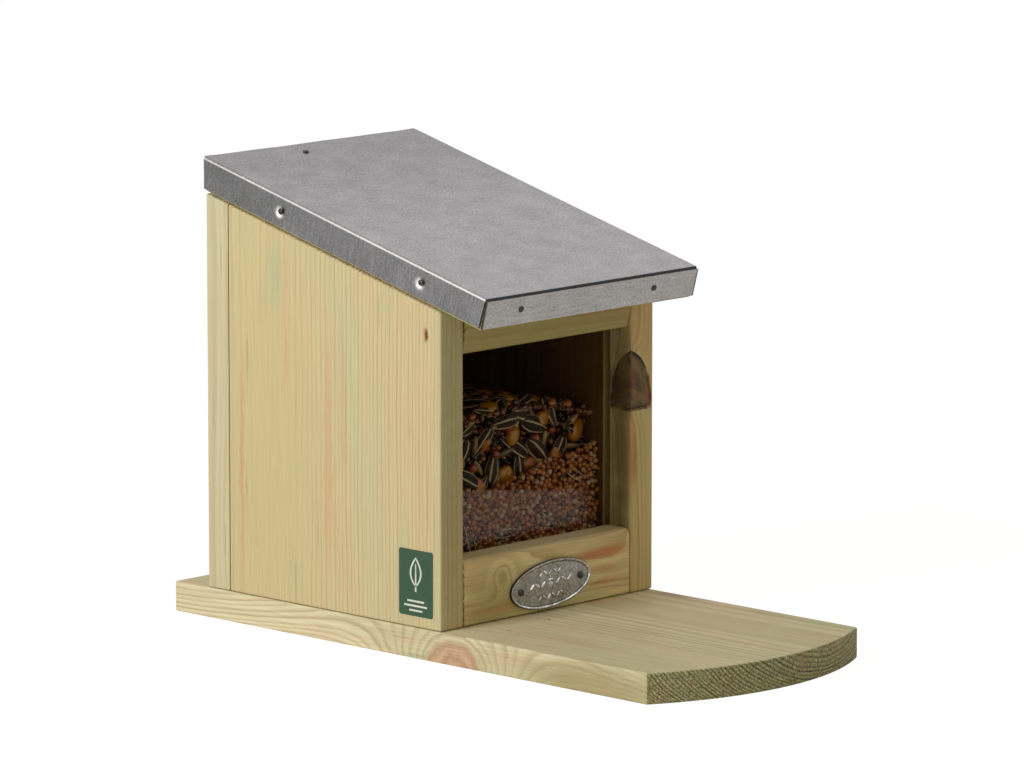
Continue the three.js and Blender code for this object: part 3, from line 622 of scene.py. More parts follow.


# Rows of cells, each a place in the lid's frame, its place on the flat blank, its skirt value and its painted
# light and shade.
# The skirt value is 0 on the roof, 0.5 on the front skirt and 1 on the side skirts.
def coverSheet(settings):
    half, top, low, front = [settings[key] for key in ("side", "top", "low", "frontEdge")]
    bend, bendSteps, waveSize = settings["bend"], settings["bendSteps"], settings["wave"]
    nails = {name: lidPoint(name) for name in sizes if name.startswith("cover_nail")}
    flatHalf, flatTop, arc = half - bend, top - bend, bend * math.pi / 2

    def rearAt(w):
        return (settings["rearY"] - frontY / mm + w * math.sin(slope)) / math.cos(slope)

    def fallAt(w):
        return (flatTop - w) / (flatTop - low)

    def dent(distance, depth):
        return depth * (1 - min(1, distance / settings["dentReach"]) ** 2) ** 2

    def wave(a, b, kind):
        place = (a / settings["waveLength"], b / settings["waveHeight"], kind)
        return waveSize * noise.noise(Vector(place))

    # how deep the dimples are at a place on a side skirt, and how much painted highlight their rear lower
    # slopes carry
    def sideDent(sign, y, w):
        sunk, shine = 0, 0
        for name, nail in nails.items():
            if nail.x * sign > half / 2 and "front_" not in name:
                apart = math.hypot(y - nail.y, w - nail.z)
                sunk += dent(apart, settings["dentDepth"])
                (wayY, wayZ), even = settings["shineWay"], settings["shineEven"]
                facing = (wayY * (y - nail.y) + wayZ * (w - nail.z)) / max(apart, 0.1)
                shine += dent(apart, settings["dentShine"]) * max(0, even + (1 - even) * facing)
        return sunk, shine

    # how far a side skirt leans out at a place
    def leanAt(sign, y, w):
        return (wave(y, w, sign * 3) - waveSize * settings["leanIn"]) * fallAt(w)

    def yOf(share, w):
        start = front + settings["slitTop"] + (settings["slitLow"] - settings["slitTop"]) * max(0, fallAt(w))
        start = front + bend if w > flatTop else start
        return start + share * (rearAt(w) - bend - start)

    yCount = round((rearAt(top) - bend - front - bend) / settings["step"])
    xCount = round(2 * flatHalf / settings["acrossStep"])
    shares = [i / yCount for i in range(yCount + 1)]
    xs = [-flatHalf + 2 * flatHalf * k / xCount for k in range(xCount + 1)]
    rowsDown = settings["skirtRows"]
    skirtLevels = [flatTop - (flatTop - low) * j / rowsDown for j in range(rowsDown + 1)]
    bends = [(step / bendSteps, math.pi / 2 * step / bendSteps) for step in range(bendSteps + 1)]
    topNail = nails["cover_nail_top"]
    frontNails = [nail for name, nail in nails.items() if "cover_nail_front" in name]

    # the roof, with None for its last row, at the sheet's rear edge
    roof = []
    for share in shares + [None]:
        row = []
        for x in xs:
            y = rearAt(top) if share is None else yOf(share, top)
            sag = wave(x, y, 0) - waveSize
            sag -= dent(math.hypot(x - topNail.x, y - topNail.y), settings["topDentDepth"])
            edge = min(flatHalf - abs(x), y - front - bend) / settings["flatEdge"]
            row.append(((x, y, top + sag * max(0, min(1, edge))), (x, y), 0, 0))
        roof.append(row)
    patches = [roof]
    # side skirts with their bends, and the tabs behind
    for sign in (-1, 1):
        skirt = []
        for share in shares:
            row = []
            for part, turn in bends:
                w = flatTop + bend * math.cos(turn)
                x = flatHalf + bend * math.sin(turn)
                # the long fold carries a painted shade on its upper half and a painted highlight on its lower
                # half
                rubAndPaintedLight = -settings["foldPaintedLight"] * math.sin(math.tau * part)
                blank = (sign * (flatHalf + bend * turn), yOf(share, w))
                row.append(((sign * x, yOf(share, w), w), blank, part, rubAndPaintedLight))
            for w in skirtLevels[1:]:
                y = yOf(share, w)
                sunk, shine = sideDent(sign, y, w)
                x = half - sunk + leanAt(sign, y, w)
                row.append(((sign * x, y, w), (sign * (flatHalf + arc + flatTop - w), y), 1, min(1, shine)))
            skirt.append(row)
        tab = []
        for step in range(bendSteps + settings["tabSteps"] + 1):
            turn = math.pi / 2 * min(1, step / bendSteps)
            run = max(0, step - bendSteps) / settings["tabSteps"] * (settings["tab"] - bend)
            row = []
            for w in skirtLevels:
                x = flatHalf + bend * math.cos(turn) - run
                y = rearAt(w) - bend + bend * math.sin(turn)
                x += leanAt(sign, rearAt(w) - bend, w) * math.cos(turn)
                row.append(((sign * x, y, w), (sign * (half + top - w), y + run + bend * turn), 1, 0))
            tab.append(row)
        patches += [skirt, tab]
    # front skirt, with a short end past each corner of the roof; the short ends carry a painted shadow for
    # the corner's slit, and the front fold a painted shadow along its bend
    frontRows = []
    reach = [-(half - settings["slitInset"])] + xs + [half - settings["slitInset"]]
    for x in reach:
        if x in xs:
            row = []
            for part, turn in bends:
                place = (x, front + bend - bend * math.sin(turn), flatTop + bend * math.cos(turn))
                worn = -settings["foldShadow"] * (0 < part < 1)
                row.append((place, (x, front + bend - bend * turn), 0.5 * part, worn))
            worn = 0
        else:
            worn = -settings["foldShadow"]
            row = [None] * bendSteps + [((x, front, flatTop), (x, front), 0.5, worn)]
        for w in skirtLevels[1:]:
            apart = [math.hypot(x - nail.x, w - nail.z) for nail in frontNails]
            sunk = sum(dent(distance, settings["topDentDepth"]) for distance in apart)
            behind = sunk + (waveSize - wave(x, w, 5)) * settings["frontWave"] * fallAt(w)
            row.append(((x, front + behind, w), (x, front - (top - w)), 0.5, worn))
        frontRows.append(row)
    patches.append(frontRows)

    skin = bmesh.new()
    sheetMap = skin.loops.layers.uv.new("sheet")
    skirtLayer = skin.verts.layers.float.new("skirt")
    paintedLightLayer = skin.verts.layers.float.new("worn")
    for patch in patches:
        grid = []
        for row in patch:
            made = []
            for cell in row:
                if cell is None:
                    made.append(None)
                    continue
                place, blank, skirt, worn = cell
                vert = skin.verts.new(lidFrame @ (Vector(place) * mm))
                vert[skirtLayer], vert[paintedLightLayer] = skirt, worn
                made.append((vert, blank))
            grid.append(made)
        for first, second in zip(grid, grid[1:]):
            for j in range(len(first) - 1):
                corners = (first[j], first[j + 1], second[j + 1], second[j])
                if None not in corners:
                    face = skin.faces.new([corner[0] for corner in corners])
                    for loop, corner in zip(face.loops, corners):
                        loop[sheetMap].uv = corner[1]
    bmesh.ops.remove_doubles(skin, verts=skin.verts, dist=settings["weld"] * mm)
    bmesh.ops.recalc_face_normals(skin, faces=skin.faces)
    if sum(face.normal.z * face.calc_area() for face in skin.faces) < 0:
        bmesh.ops.reverse_faces(skin, faces=skin.faces)
    piece = meshObject("cover_sheet", meshOf(skin, "cover_sheet"), galvanised())
    wall = piece.modifiers.new("wall", "SOLIDIFY")
    wall.thickness = settings["thickness"] * mm
    wall.offset = -1
    return smooth(settle(piece), settings["smoothTo"])


dress(coverSheet(coverSettings), "lid", "galvanised_sheet", "lid_cover_sheet")


print("pane, label")


# Clear cast acrylic: colourless, sharp reflections; it lets the lamps through to the feed, dimmed by a grey
# that serves as painted shade inside the box
def acrylic():
    material, add, shader = newMaterial("clear cast acrylic")
    wire(shader, {"Base Color": "#f4f6f2", "Roughness": 0.02, "IOR": 1.18, "Transmission Weight": 1.0})
    ray = add("LightPath").outputs
    through = add("Math MAXIMUM", ray["Is Shadow Ray"], ray["Is Diffuse Ray"])
    showMixed(material, add, through, shader, add("BsdfTransparent", Color="#cfccc4"))
    return material


paneSettings = {"rounding": 0.25, "longerThan": 1}
paneMesh = boardCopy("window_pane", axisOf["z"], paneSettings["rounding"], paneSettings["longerThan"])
dress(meshObject("clear_pane", paneMesh, acrylic()), "box", "clear_acrylic", "window_pane")

labelSettings = {
    "corner": 0.8, "cornerSteps": 5, "printLift": 0.02, "thickness": 0.26,
    "ground": "#1b462b", "print": "#dbe2d6",
    "bars": [(-7.4, 9.0, 0.75), (-9.2, 12.0, 0.75), (-11.0, 7.0, 0.75)],
    "leafCentre": 4.2, "leafLength": 11.5, "leafWidth": 7.2, "leafSteps": 18, "line": 0.85, "stem": 1.8,
    "leafBlunt": 0.8, "leafTaper": 0.25, "ribReach": 0.55, "weld": 0.01,
}


# Printed vinyl film: flat ink with faint clouds and an even, slightly waxy shine
def film(name, colour, rough):
    material, add, shader = newMaterial(name)
    cloud = add("TexNoise", Vector=millimetres(add), Scale=1 / 3, Detail=3.0)
    shade = add("MapRange", cloud, *noiseSpan, 0.94, 1.06)
    ink = add("VectorMath SCALE", linear(colour)[:3], Scale=shade)
    wire(shader, {"Base Color": ink, "Roughness": rough})
    return material


def sideLabel(settings):
    low, high = sizes["side_label"]
    corner = settings["corner"] * mm
    outline = []
    ys, zs = [(start + corner, end - corner) for start, end in ((low.y, high.y), (low.z, high.z))]
    for j, k, start in ((1, 0, -90), (1, 1, 0), (0, 1, 90), (0, 0, 180)):
        outline += arcPoints((ys[j], zs[k]), corner, start, 90, settings["cornerSteps"])
    outer = high.x - settings["thickness"] * mm
    mesh = meshOf(prism(outline, "x", outer, high.x), "label")
    label = meshObject("label", mesh, film("printed vinyl film, green", settings["ground"], 0.42))

    # a plain leaf outline with its rib, over three bars
    middleY, middleZ = (low.y + high.y) / 2, (low.z + high.z) / 2
    shapes = []
    for z, width, thick in settings["bars"]:
        half = width / 2
        shapes.append([(-half, z), (half, z), (half, z + thick), (-half, z + thick)])
    long, wide, line = settings["leafLength"] / 2, settings["leafWidth"] / 2, settings["line"]
    middle, steps = settings["leafCentre"], settings["leafSteps"]

    def leafEdge(side, inset):
        points = []
        for step in range(steps + 1):
            share = step / steps
            bulge = math.sin(math.pi * share) ** settings["leafBlunt"] * (1 - settings["leafTaper"] * share)
            points.append((side * max(0, wide * bulge - inset), middle - long + 2 * long * share))
        return points
    for side in (-1, 1):
        outside, within = leafEdge(side, 0), leafEdge(side, line)
        for a in range(steps):
            shapes.append([outside[a], outside[a + 1], within[a + 1], within[a]])
    foot, tip = middle - long - settings["stem"], middle + long * settings["ribReach"]
    shapes.append([(-line / 2, foot), (line / 2, foot), (line / 3, tip), (-line / 3, tip)])
    skin = bmesh.new()
    x = outer - settings["printLift"] * mm
    for shape in shapes:
        face = skin.faces.new([skin.verts.new((x, middleY + u * mm, middleZ + v * mm)) for u, v in shape])
        face.normal_update()
        if face.normal.x > 0:
            face.normal_flip()
    bmesh.ops.remove_doubles(skin, verts=skin.verts, dist=settings["weld"] * mm)
    ink = film("printed vinyl film, white", settings["print"], 0.5)
    return label, meshObject("label_print", meshOf(skin, "label_print"), ink)


label, marks = sideLabel(labelSettings)
dress(label, "box", "label_film", "side_label")
dress(marks, "box", "label_film")


print("feed")
feedSettings = {
    # how far each mass stands in from its solid at the sides and rear, and at the front and top
    "inset": 1.2, "grainInsets": (3.4, 0), "seedInsets": (9, 12), "crest": 92, "fall": 7,
    "grainLow": 33, "grainLine": (57, 69), "lineUneven": 6, "columns": 30, "wallRows": 8,
    "roofRows": 16, "lineBumps": 5, "linePlace": 3.3,
}
seedFloats = ("Spacing", "Density", "Length", "Width", "Thickness", "Taper", "Tilt", "Small")
seedWhole = ("Seed", "Segments", "Rings")
seedLengths = ("Spacing", "Length", "Width", "Thickness")
# lengths in millimetres, Density per square metre, Tilt in radians, Taper and Small as shares
seedRows = {
    "grain": (1.75, 600000.0, 2.5, 2.15, 2.1, 0.05, 1.2, 0.75, 3, 7, 5),
    "scattered": (2.1, 250000.0, 3.0, 2.3, 2.2, 0.05, 1.2, 0.7, 8, 7, 5),
    "milo": (9, 60000.0, 4.4, 3.9, 3.4, 0.1, 1.0, 0.7, 21, 10, 7),
    "oats": (9, 60000.0, 8.5, 2.7, 2.3, 0.35, 0.4, 0.8, 14, 10, 8),
    "sunflower": (9.4, 60000.0, 14.5, 7.2, 3.8, 0.34, 0.5, 0.85, 11, 18, 12),
    "strays": (21, 60000.0, 13.5, 6.6, 3.4, 0.34, 0.05, 0.85, 2, 18, 12),
    "maize": (14, 60000.0, 9, 7.4, 4.4, 0.32, 0.45, 0.8, 5, 14, 10),
}


def seedValues(row):
    named = zip(seedFloats + seedWhole, row)
    return {label: value * mm if label in seedLengths else value for label, value in named}


# a tree in which seeds lie on a surface, each turned its own way
def seedTree(name, material):
    largest, toneSeed = 1.1, 77
    tree, add, given = newTree(name, seedFloats, seedWhole)
    seed, tilt = given["Seed"], given["Tilt"]
    spots = add("DistributePointsOnFaces",
                {"Mesh": given["Geometry"], "Distance Min": given["Spacing"], "Density Max": given["Density"],
                 "Seed": seed}, distribute_method="POISSON").outputs
    lean = add("Math MULTIPLY", tilt, -1.0)
    lowTurn, highTurn = add("CombineXYZ", lean, lean, 0.0), add("CombineXYZ", tilt, tilt, math.tau)
    turn = add("EulerToRotation", add("RandomValue FLOAT_VECTOR", lowTurn, highTurn, Seed=seed))
    turn = add("RotateRotation", {"Rotation": spots["Rotation"], "Rotate By": turn}, rotation_space="LOCAL")
    size = add("RandomValue FLOAT", {2: given["Small"], 3: largest, "Seed": seed})

    ball = add("MeshUVSphere", Segments=given["Segments"], Rings=given["Rings"], Radius=1.0)
    ball = add("Transform", Geometry=ball, Rotation=(math.pi / 2, 0, 0))
    here = add("InputPosition")
    ball = add("StoreNamedAttribute FLOAT_VECTOR", Geometry=ball, Name="seedPoint", Value=here)
    taper = add("Math MULTIPLY", add("SeparateXYZ", here).outputs["Y"], given["Taper"])
    slim = add("Math SUBTRACT", 1.0, taper)
    wide, deep = [add("Math MULTIPLY", given[label], slim) for label in ("Width", "Thickness")]
    extent = add("VectorMath SCALE", add("CombineXYZ", wide, given["Length"], deep), Scale=0.5)
    ball = add("SetPosition", Geometry=ball, Position=add("VectorMath MULTIPLY", here, extent))

    laid = add("InstanceOnPoints", Points=spots["Points"], Instance=ball, Rotation=turn, Scale=size)
    tone = add("RandomValue FLOAT", {2: 0.0, 3: 1.0, "Seed": toneSeed})
    laid = add("StoreNamedAttribute FLOAT", Geometry=laid, Name="seedTone", Value=tone, domain="INSTANCE")
    laid = add("SetShadeSmooth", Geometry=add("RealizeInstances", Geometry=laid))
    return endTree(tree, add, laid, material)


# Sunflower husk: dark brown with a few cream stripes from end to end, and a dull satin shell
def sunflowerHusk():
    material, add, shader = newMaterial("sunflower husk")
    local = add("Attribute seedPoint").outputs["Vector"]
    tone = add("Attribute seedTone").outputs["Fac"]
    parts = add("SeparateXYZ", local).outputs
    angle = add("Math ARCTAN2", parts["Z"], parts["X"])
    waver = add("TexNoise 4D", Vector=local, W=tone, Scale=1.6)
    stripe = add("Math COSINE", add("Math MULTIPLY_ADD", angle, 6.0, waver))
    narrow = add("MapRange", tone, {3: 0.4, 4: 0.75})
    stripe = add("MapRange SMOOTHSTEP", stripe, narrow, 0.97)
    ends = add("MapRange", add("Math ABSOLUTE", parts["Y"]), 0.99, 0.85)
    stripe = add("Math MULTIPLY", stripe, ends)
    dark = add("Mix RGBA", tone, {6: "#4c3420", 7: "#281a10"})
    husk = add("Mix RGBA", stripe, {6: dark, 7: "#fff0d8"})
    wire(shader, {"Base Color": husk, "Roughness": 0.56, "Specular IOR Level": 0.2})
    return material


# Dried maize: waxy amber to orange skin with a pale, floury tip
def maizeSkin():
    material, add, shader = newMaterial("dried maize")
    local = add("Attribute seedPoint").outputs["Vector"]
    tone = add("Attribute seedTone").outputs["Fac"]
    tip = add("MapRange SMOOTHSTEP", add("SeparateXYZ", local).outputs["Y"], 0.72, 1.0)
    skin = add("Mix RGBA", tone, {6: "#e48410", 7: "#f8b426"})
    skin = add("Mix RGBA", tip, {6: skin, 7: "#e6c98c"})
    wire(shader, {"Base Color": skin, "Roughness": 0.26, "Specular IOR Level": 0.5})
    return material


# Grains by their tone: two hard skin colours, a few pale ones and a few dark ones, slightly shiny
def grainSkin(name, low, high, pale, dark):
    material, add, shader = newMaterial(name)
    tone = add("Attribute seedTone").outputs["Fac"]
    colour = low
    for start, end, tint in ((0.0, 0.6, high), (0.65, 0.85, pale), (0.92, 0.93, dark)):
        colour = add("Mix RGBA", add("MapRange", tone, start, end), {6: colour, 7: tint})
    wire(shader, {"Base Color": colour, "Roughness": 0.3, "Specular IOR Level": 0.5})
    return material


# the mass of the feed under the seeds that show, in lumps the size of a grain
def feedMass(name, low, high):
    material, add, shader = newMaterial(name)
    lump = add("TexVoronoi", Vector=millimetres(add), Scale=1 / 2.2).outputs
    share = add("SeparateColor", lump["Color"]).outputs["Red"]
    colour = add("Mix RGBA", share, {6: low, 7: high})
    bump = add("Bump", Height=lump["Distance"], Distance=mm, Strength=0.7)
    wire(shader, {"Base Color": colour, "Normal": bump, "Roughness": 0.8})
    return material


# a feed solid's own mesh with its sides and top drawn in
def feedFill(node, name, inset, insets, material):
    low, high = sizes[node]
    front, above = insets
    skin = skinOf(node)
    upper = {}
    for vert in skin.verts:
        place = (round(vert.co.x, 5), round(vert.co.y, 5))
        upper[place] = max(upper.get(place, 0), vert.co.z)
    for vert in skin.verts:
        if vert.co.z == upper[(round(vert.co.x, 5), round(vert.co.y, 5))]:
            vert.co.z -= above * mm
        vert.co.x = min(high.x - inset * mm, max(low.x + inset * mm, vert.co.x))
        vert.co.y = min(high.y - inset * mm, max(low.y + front * mm, vert.co.y))
    return meshObject(name, meshOf(skin, name), material)


# grids of points as one mesh
def sheetMesh(name, grids):
    verts, faces = [], []
    for grid in grids:
        start, wide = len(verts), len(grid[0])
        verts.extend(point for row in grid for point in row)
        for i in range(len(grid) - 1):
            for j in range(wide - 1):
                a = start + i * wide + j
                faces.append((a, a + 1, a + 1 + wide, a + wide))
    return flatMesh(name, verts, faces)


# Surfaces in the feed's space that the seeds lie on. u runs from left to right and v from front to rear,
# 0 to 1; a wall stands at a depth behind the feed's front, and a roof lies a little under the heap's top.
def feedSurfaces(settings):
    low, high = sizes["feed_small_grain"][0], sizes["feed_seed_heap"][1]
    shares = [i / settings["columns"] for i in range(settings["columns"] + 1)]

    def heapTop(u, v):
        crown = math.sin(math.pi * u) * math.sin(math.pi * (1 + v) / 2)
        return (settings["crest"] - settings["fall"] * (1 - crown)) * mm

    def line(u):
        start, end = settings["grainLine"]
        straight = start + (end - start) * u
        place = Vector((u * settings["lineBumps"], settings["linePlace"], 0))
        return (straight + settings["lineUneven"] * noise.noise(place)) * mm

    def ground(u):
        return settings["grainLow"] * mm

    def across(u, inset):
        return low.x + inset * mm + (high.x - low.x - 2 * inset * mm) * u

    # from a lower edge to an upper one, each a line and how far over it in millimetres
    def wall(depth, inset, bottomLine, over, topLine, under):
        rows = []
        for level in range(settings["wallRows"] + 1):
            row = []
            for u in shares:
                bottom, top = bottomLine(u) + over * mm, topLine(u) + under * mm
                height = bottom + (top - bottom) * level / settings["wallRows"]
                row.append((across(u, inset), low.y + depth * mm, height))
            rows.append(row)
        return rows

    def roof(inset, sink):
        rows = []
        for j in range(settings["roofRows"] + 1):
            v = j / settings["roofRows"]
            y = low.y + inset * mm + (high.y - low.y - 2 * inset * mm) * v
            rows.append([(across(u, inset), y, heapTop(u, v) - sink * mm) for u in shares])
        return rows

    def frontTop(u):
        return heapTop(u, 0)
    seedWall, rearWall = [wall(depth, 6, line, -2, frontTop, -5) for depth in (6, 8.5)]
    # walls by depth and side inset, roofs by inset and depth under the top
    grids = {
        "grain": [wall(depth, 1.4, ground, 0, line, 0) for depth in (1.4, 2.8)],
        "scattered": [wall(8.2, 1.6, line, -6, frontTop, -3), roof(2, 3.6)],
        "milo": [seedWall, roof(3, 1.6)],
        "oats": [seedWall, roof(6, 2.0)],
        "sunflower": [seedWall, rearWall, roof(7, 2.6)],
        "strays": [wall(2.4, 12, ground, 7, line, -4)],
        "maize": [seedWall, roof(5.5, 1.8)],
    }
    return {kind: sheetMesh(f"{kind} surface", grid) for kind, grid in grids.items()}


for node, name, slot, low, high, insets in (
    ("feed_small_grain", "small_grain_mass", "small_grain", "#9c5c34", "#d48c54", "grainInsets"),
    ("feed_seed_heap", "seed_mass", "seed_mix", "#17110c", "#3a2a1c", "seedInsets"),
):
    mass = feedMass(name.replace("_", " "), low, high)
    piece = feedFill(node, name, feedSettings["inset"], feedSettings[insets], mass)
    dress(piece, "box", slot, node)
surfaces = feedSurfaces(feedSettings)
huskSkin = sunflowerHusk()
for kind, name, slot, material in (
    ("grain", "small_grains", "small_grain", grainSkin("millet", "#ac5420", "#f6a452", "#ffe6c6", "#784420")),
    ("scattered", "mixed_grains", "seed_mix",
     grainSkin("mixed grain", "#552c16", "#925426", "#c08c4c", "#301a0e")),
    ("milo", "milo_grains", "seed_mix", grainSkin("milo", "#9a3a1e", "#cf5f28", "#d98a3c", "#5e2a1a")),
    ("oats", "oat_grains", "seed_mix", grainSkin("oats", "#a2804e", "#c4a268", "#d8bd88", "#8a683e")),
    ("sunflower", "sunflower_seeds", "seed_mix", huskSkin),
    ("strays", "stray_seeds", "seed_mix", huskSkin),
    ("maize", "maize_kernels", "seed_mix", maizeSkin()),
):
    tree = seedTree(name.replace("_", " "), material)
    dress(grow(name, surfaces[kind], tree, seedValues(seedRows[kind]), material), "box", slot)


print("plate")
plateSettings = {
    "rimWidth": 1.1, "rimHeight": 0.5, "thickness": 0.8, "tilt": 4, "crown": 0.12, "sides": 96, "relief": 0.5,
    "rows": [
        {"Count": 5, "Pitch": 2.6, "Height": 4.7, "Length": 2.7, "Width": 1.1, "Turn": 0.7},
        {"Count": 3, "Pitch": 3.1, "Height": 0.5, "Length": 3.5, "Width": 1.4, "Turn": 0.8, "Offset": -7.3},
        {"Count": 3, "Pitch": 3.1, "Height": 0.5, "Length": 3.5, "Width": 1.4, "Turn": 0.8, "Offset": 7.3},
        {"Count": 6, "Pitch": 2.5, "Height": -4.7, "Length": 2.6, "Width": 1.0, "Turn": 0.7},
    ],
    # a small acorn in relief, each part's middle and radii: the nut, its cup and its stalk
    "acorn": [((0, -0.7, 0), (1.15, 1.9, 0.5)), ((0, 1.0, 0), (1.45, 0.85, 0.6)),
              ((0, 2.1, 0), (0.25, 0.7, 0.35))],
    "acornRise": 0.6, "smoothTo": 50,
}


# Cast pewter-coloured zinc alloy: a bright raised rim and relief, and a dark patina in the field between. The
# rim's inner edge carries a painted highlight, and the rim's outer wall and inner foot a painted shadow.
def castPlate():
    material, add, shader = newMaterial("cast zinc alloy, antiqued")
    point = millimetres(add)
    raised = add("Attribute raised").outputs["Fac"]
    pitted = add("TexNoise", Vector=point, Scale=1 / 0.9, Detail=4.0)
    stainAndPaintedShade = add("TexNoise", Vector=point, Scale=1 / 4, Detail=2.0)
    field = add("Mix RGBA", stainAndPaintedShade, {6: "#7b766b", 7: "#b8b5ad"})
    rubAndPaintedLight = add("Mix RGBA", add("MapRange", stainAndPaintedShade, 0.42, 0.6), {6: "#a3a09a", 7: "#f0efec"})
    metal = add("Mix RGBA", raised, {6: field, 7: rubAndPaintedLight})
    shade = add("MapRange", pitted, *noiseSpan, 0.6, 1.3)
    # painted shadow where the value is under 0, on the rim's outer wall and inner foot
    shade = add("Math MULTIPLY", shade, add("MapRange", raised, -1.0, 0.0, 0.15, 1.0))
    metal = add("VectorMath SCALE", metal, Scale=shade)
    rough = add("MapRange", raised, {3: 0.48, 4: 0.28})
    bump = add("Bump", Height=pitted, Distance=0.1 * mm, Strength=0.6)
    wire(shader, {"Base Color": metal, "Roughness": rough, "Normal": bump, "Metallic": 1.0})
    return material


# a tree that lays a row of leaves, turned to one side and the other by turns
def reliefTree(material):
    labels = ("Pitch", "Height", "Offset", "Length", "Width", "Turn", "Relief")
    tree, add, given = newTree("relief leaves", labels, ("Count",))
    last = add("Math SUBTRACT", given["Count"], 1.0)
    start = add("Math MULTIPLY_ADD", add("Math MULTIPLY", last, given["Pitch"]), -0.5, given["Offset"])
    first = add("CombineXYZ", start, given["Height"])
    row = add("MeshLine", {"Count": given["Count"], "Start Location": first,
                           "Offset": add("CombineXYZ", given["Pitch"])}, mode="OFFSET")
    extent = add("CombineXYZ", given["Width"], given["Length"], given["Relief"])
    leaf = add("Transform", Geometry=add("MeshUVSphere", Segments=16, Rings=8, Radius=0.5), Scale=extent)
    side = add("MapRange", add("Math MODULO", add("InputIndex"), 2.0), {3: -1.0, 4: 1.0})
    turn = add("CombineXYZ", {2: add("Math MULTIPLY", side, given["Turn"])})
    laid = add("InstanceOnPoints", Points=row, Instance=leaf, Rotation=add("EulerToRotation", turn))
    laid = add("SetShadeSmooth", Geometry=add("RealizeInstances", Geometry=laid))
    laid = add("StoreNamedAttribute FLOAT", Geometry=laid, Name="raised", Value=1.0)
    return endTree(tree, add, laid, material)


def ovalPlate(settings):
    low, high = sizes["nameplate"]
    material = castPlate()
    tilt = math.radians(settings["tilt"])
    # the plate's own frame: X along the oval, Y up it, Z out of the sill
    turned = Matrix.Rotation(math.pi / 2, 4, "X") @ Matrix.Rotation(tilt, 4, "Z")
    seat = Matrix.Translation(((low.x + high.x) / 2, high.y, (low.z + high.z) / 2)) @ turned
    wide, tall = (high.x - low.x) / 2 / mm, (high.z - low.z) / 2 / mm
    # half axes of the tilted oval from its box
    c, s = math.cos(tilt) ** 2, math.sin(tilt) ** 2
    a = math.sqrt((wide ** 2 * c - tall ** 2 * s) / (c * c - s * s))
    b = math.sqrt((tall ** 2 * c - wide ** 2 * s) / (c * c - s * s))
    rim, thick, crown = settings["rimWidth"], settings["thickness"], settings["crown"]
    full = thick + settings["rimHeight"]
    # from the back round the rim to the middle: inset, height, and the value that sets the metal's lightness
    # there: under 0 a painted shadow on the outer wall and inner foot, near 1 a painted highlight on the
    # inner edge
    profile = [
        (0.25, 0, -1), (0, 0.25, -1), (0, full - 0.35, -1), (0.12, full - 0.1, -0.6), (0.35, full, 0),
        (rim - 0.45, full, 0.7), (rim - 0.15, full - 0.12, 1), (rim, full - 0.3, 0.3),
        (rim + 0.1, thick, -0.7), (rim + 0.5, thick - 0.04, 0), (rim + 3, thick + crown * 0.4, 0),
        (rim + 6, thick + crown, 0),
    ]
    skin = bmesh.new()
    raisedLayer = skin.verts.layers.float.new("raised")
    rings = []
    for inset, out, raised in profile:
        ring = []
        for step in range(settings["sides"]):
            turn = math.tau * step / settings["sides"]
            place = Vector(((a - inset) * math.cos(turn), (b - inset) * math.sin(turn), out)) * mm
            vert = skin.verts.new(seat @ place)
            vert[raisedLayer] = raised
            ring.append(vert)
        rings.append(ring)
    closeRings(skin, rings)
    tree = reliefTree(material)
    for row in settings["rows"]:
        values = {key: value if key in ("Count", "Turn") else value * mm for key, value in row.items()}
        values["Relief"] = 2 * settings["relief"] * mm
        piece = grow("relief row", bpy.data.meshes.new("relief start"), tree, values, material)
        piece.data.transform(seat @ Matrix.Translation((0, 0, thick * mm)))
        skin.from_mesh(piece.data)
        bpy.data.objects.remove(piece)
    acornSeat = seat @ Matrix.Translation((0, settings["acornRise"] * mm, thick * mm))
    for middle, radii in settings["acorn"]:
        shape = Matrix.Translation(Vector(middle) * mm) @ Matrix.Diagonal((*[r * mm for r in radii], 1))
        made = bmesh.ops.create_uvsphere(skin, u_segments=18, v_segments=10, radius=1,
                                         matrix=acornSeat @ shape)
        for vert in made["verts"]:
            vert[raisedLayer] = 1.0
    return smooth(meshObject("oval_plate", meshOf(skin, "oval_plate"), material), settings["smoothTo"])


dress(ovalPlate(plateSettings), "box", "plate_metal", "nameplate")


print("fasteners and hinges")


# Zinc-plated or galvanised steel: a hard grey shine with faint cloudy passivation
def platedSteel(name, light, dark, rough):
    material, add, shader = newMaterial(name)
    cloud = add("TexNoise", Vector=millimetres(add), Scale=1 / 2.5, Detail=4.0)
    metal = add("Mix RGBA", add("MapRange", cloud, 0.2, 0.8), {6: dark, 7: light})
    polish = add("MapRange", cloud, *noiseSpan, rough + 0.03, rough - 0.03)
    wire(shader, {"Base Color": metal, "Roughness": polish, "Metallic": 1.0})
    return material


screwSteel = platedSteel("zinc plated steel, screws", "#c6c1ae", "#b0ab98", 0.32)
hingeSteel = platedSteel("zinc plated steel, hinges", "#a2a19f", "#93928f", 0.36)
nailSteel = platedSteel("galvanised nail steel", "#545251", "#343334", 0.42)


fastenerLabels = ("Head Radius", "Head Height", "Shank Radius", "Length", "Slot Width", "Slot Depth")
fastenerSizes = {
    "back screw": (3.4, 2.6, 1.6, 30, 0.9, 1.4), "hinge screw": (2.1, 1.3, 1.0, 8, 0.55, 0.6),
    "cover nail": (1.25, 0.45, 0.7, 11.5), "plate nail": (1.4, 0.5, 0.6, 8.5),
}


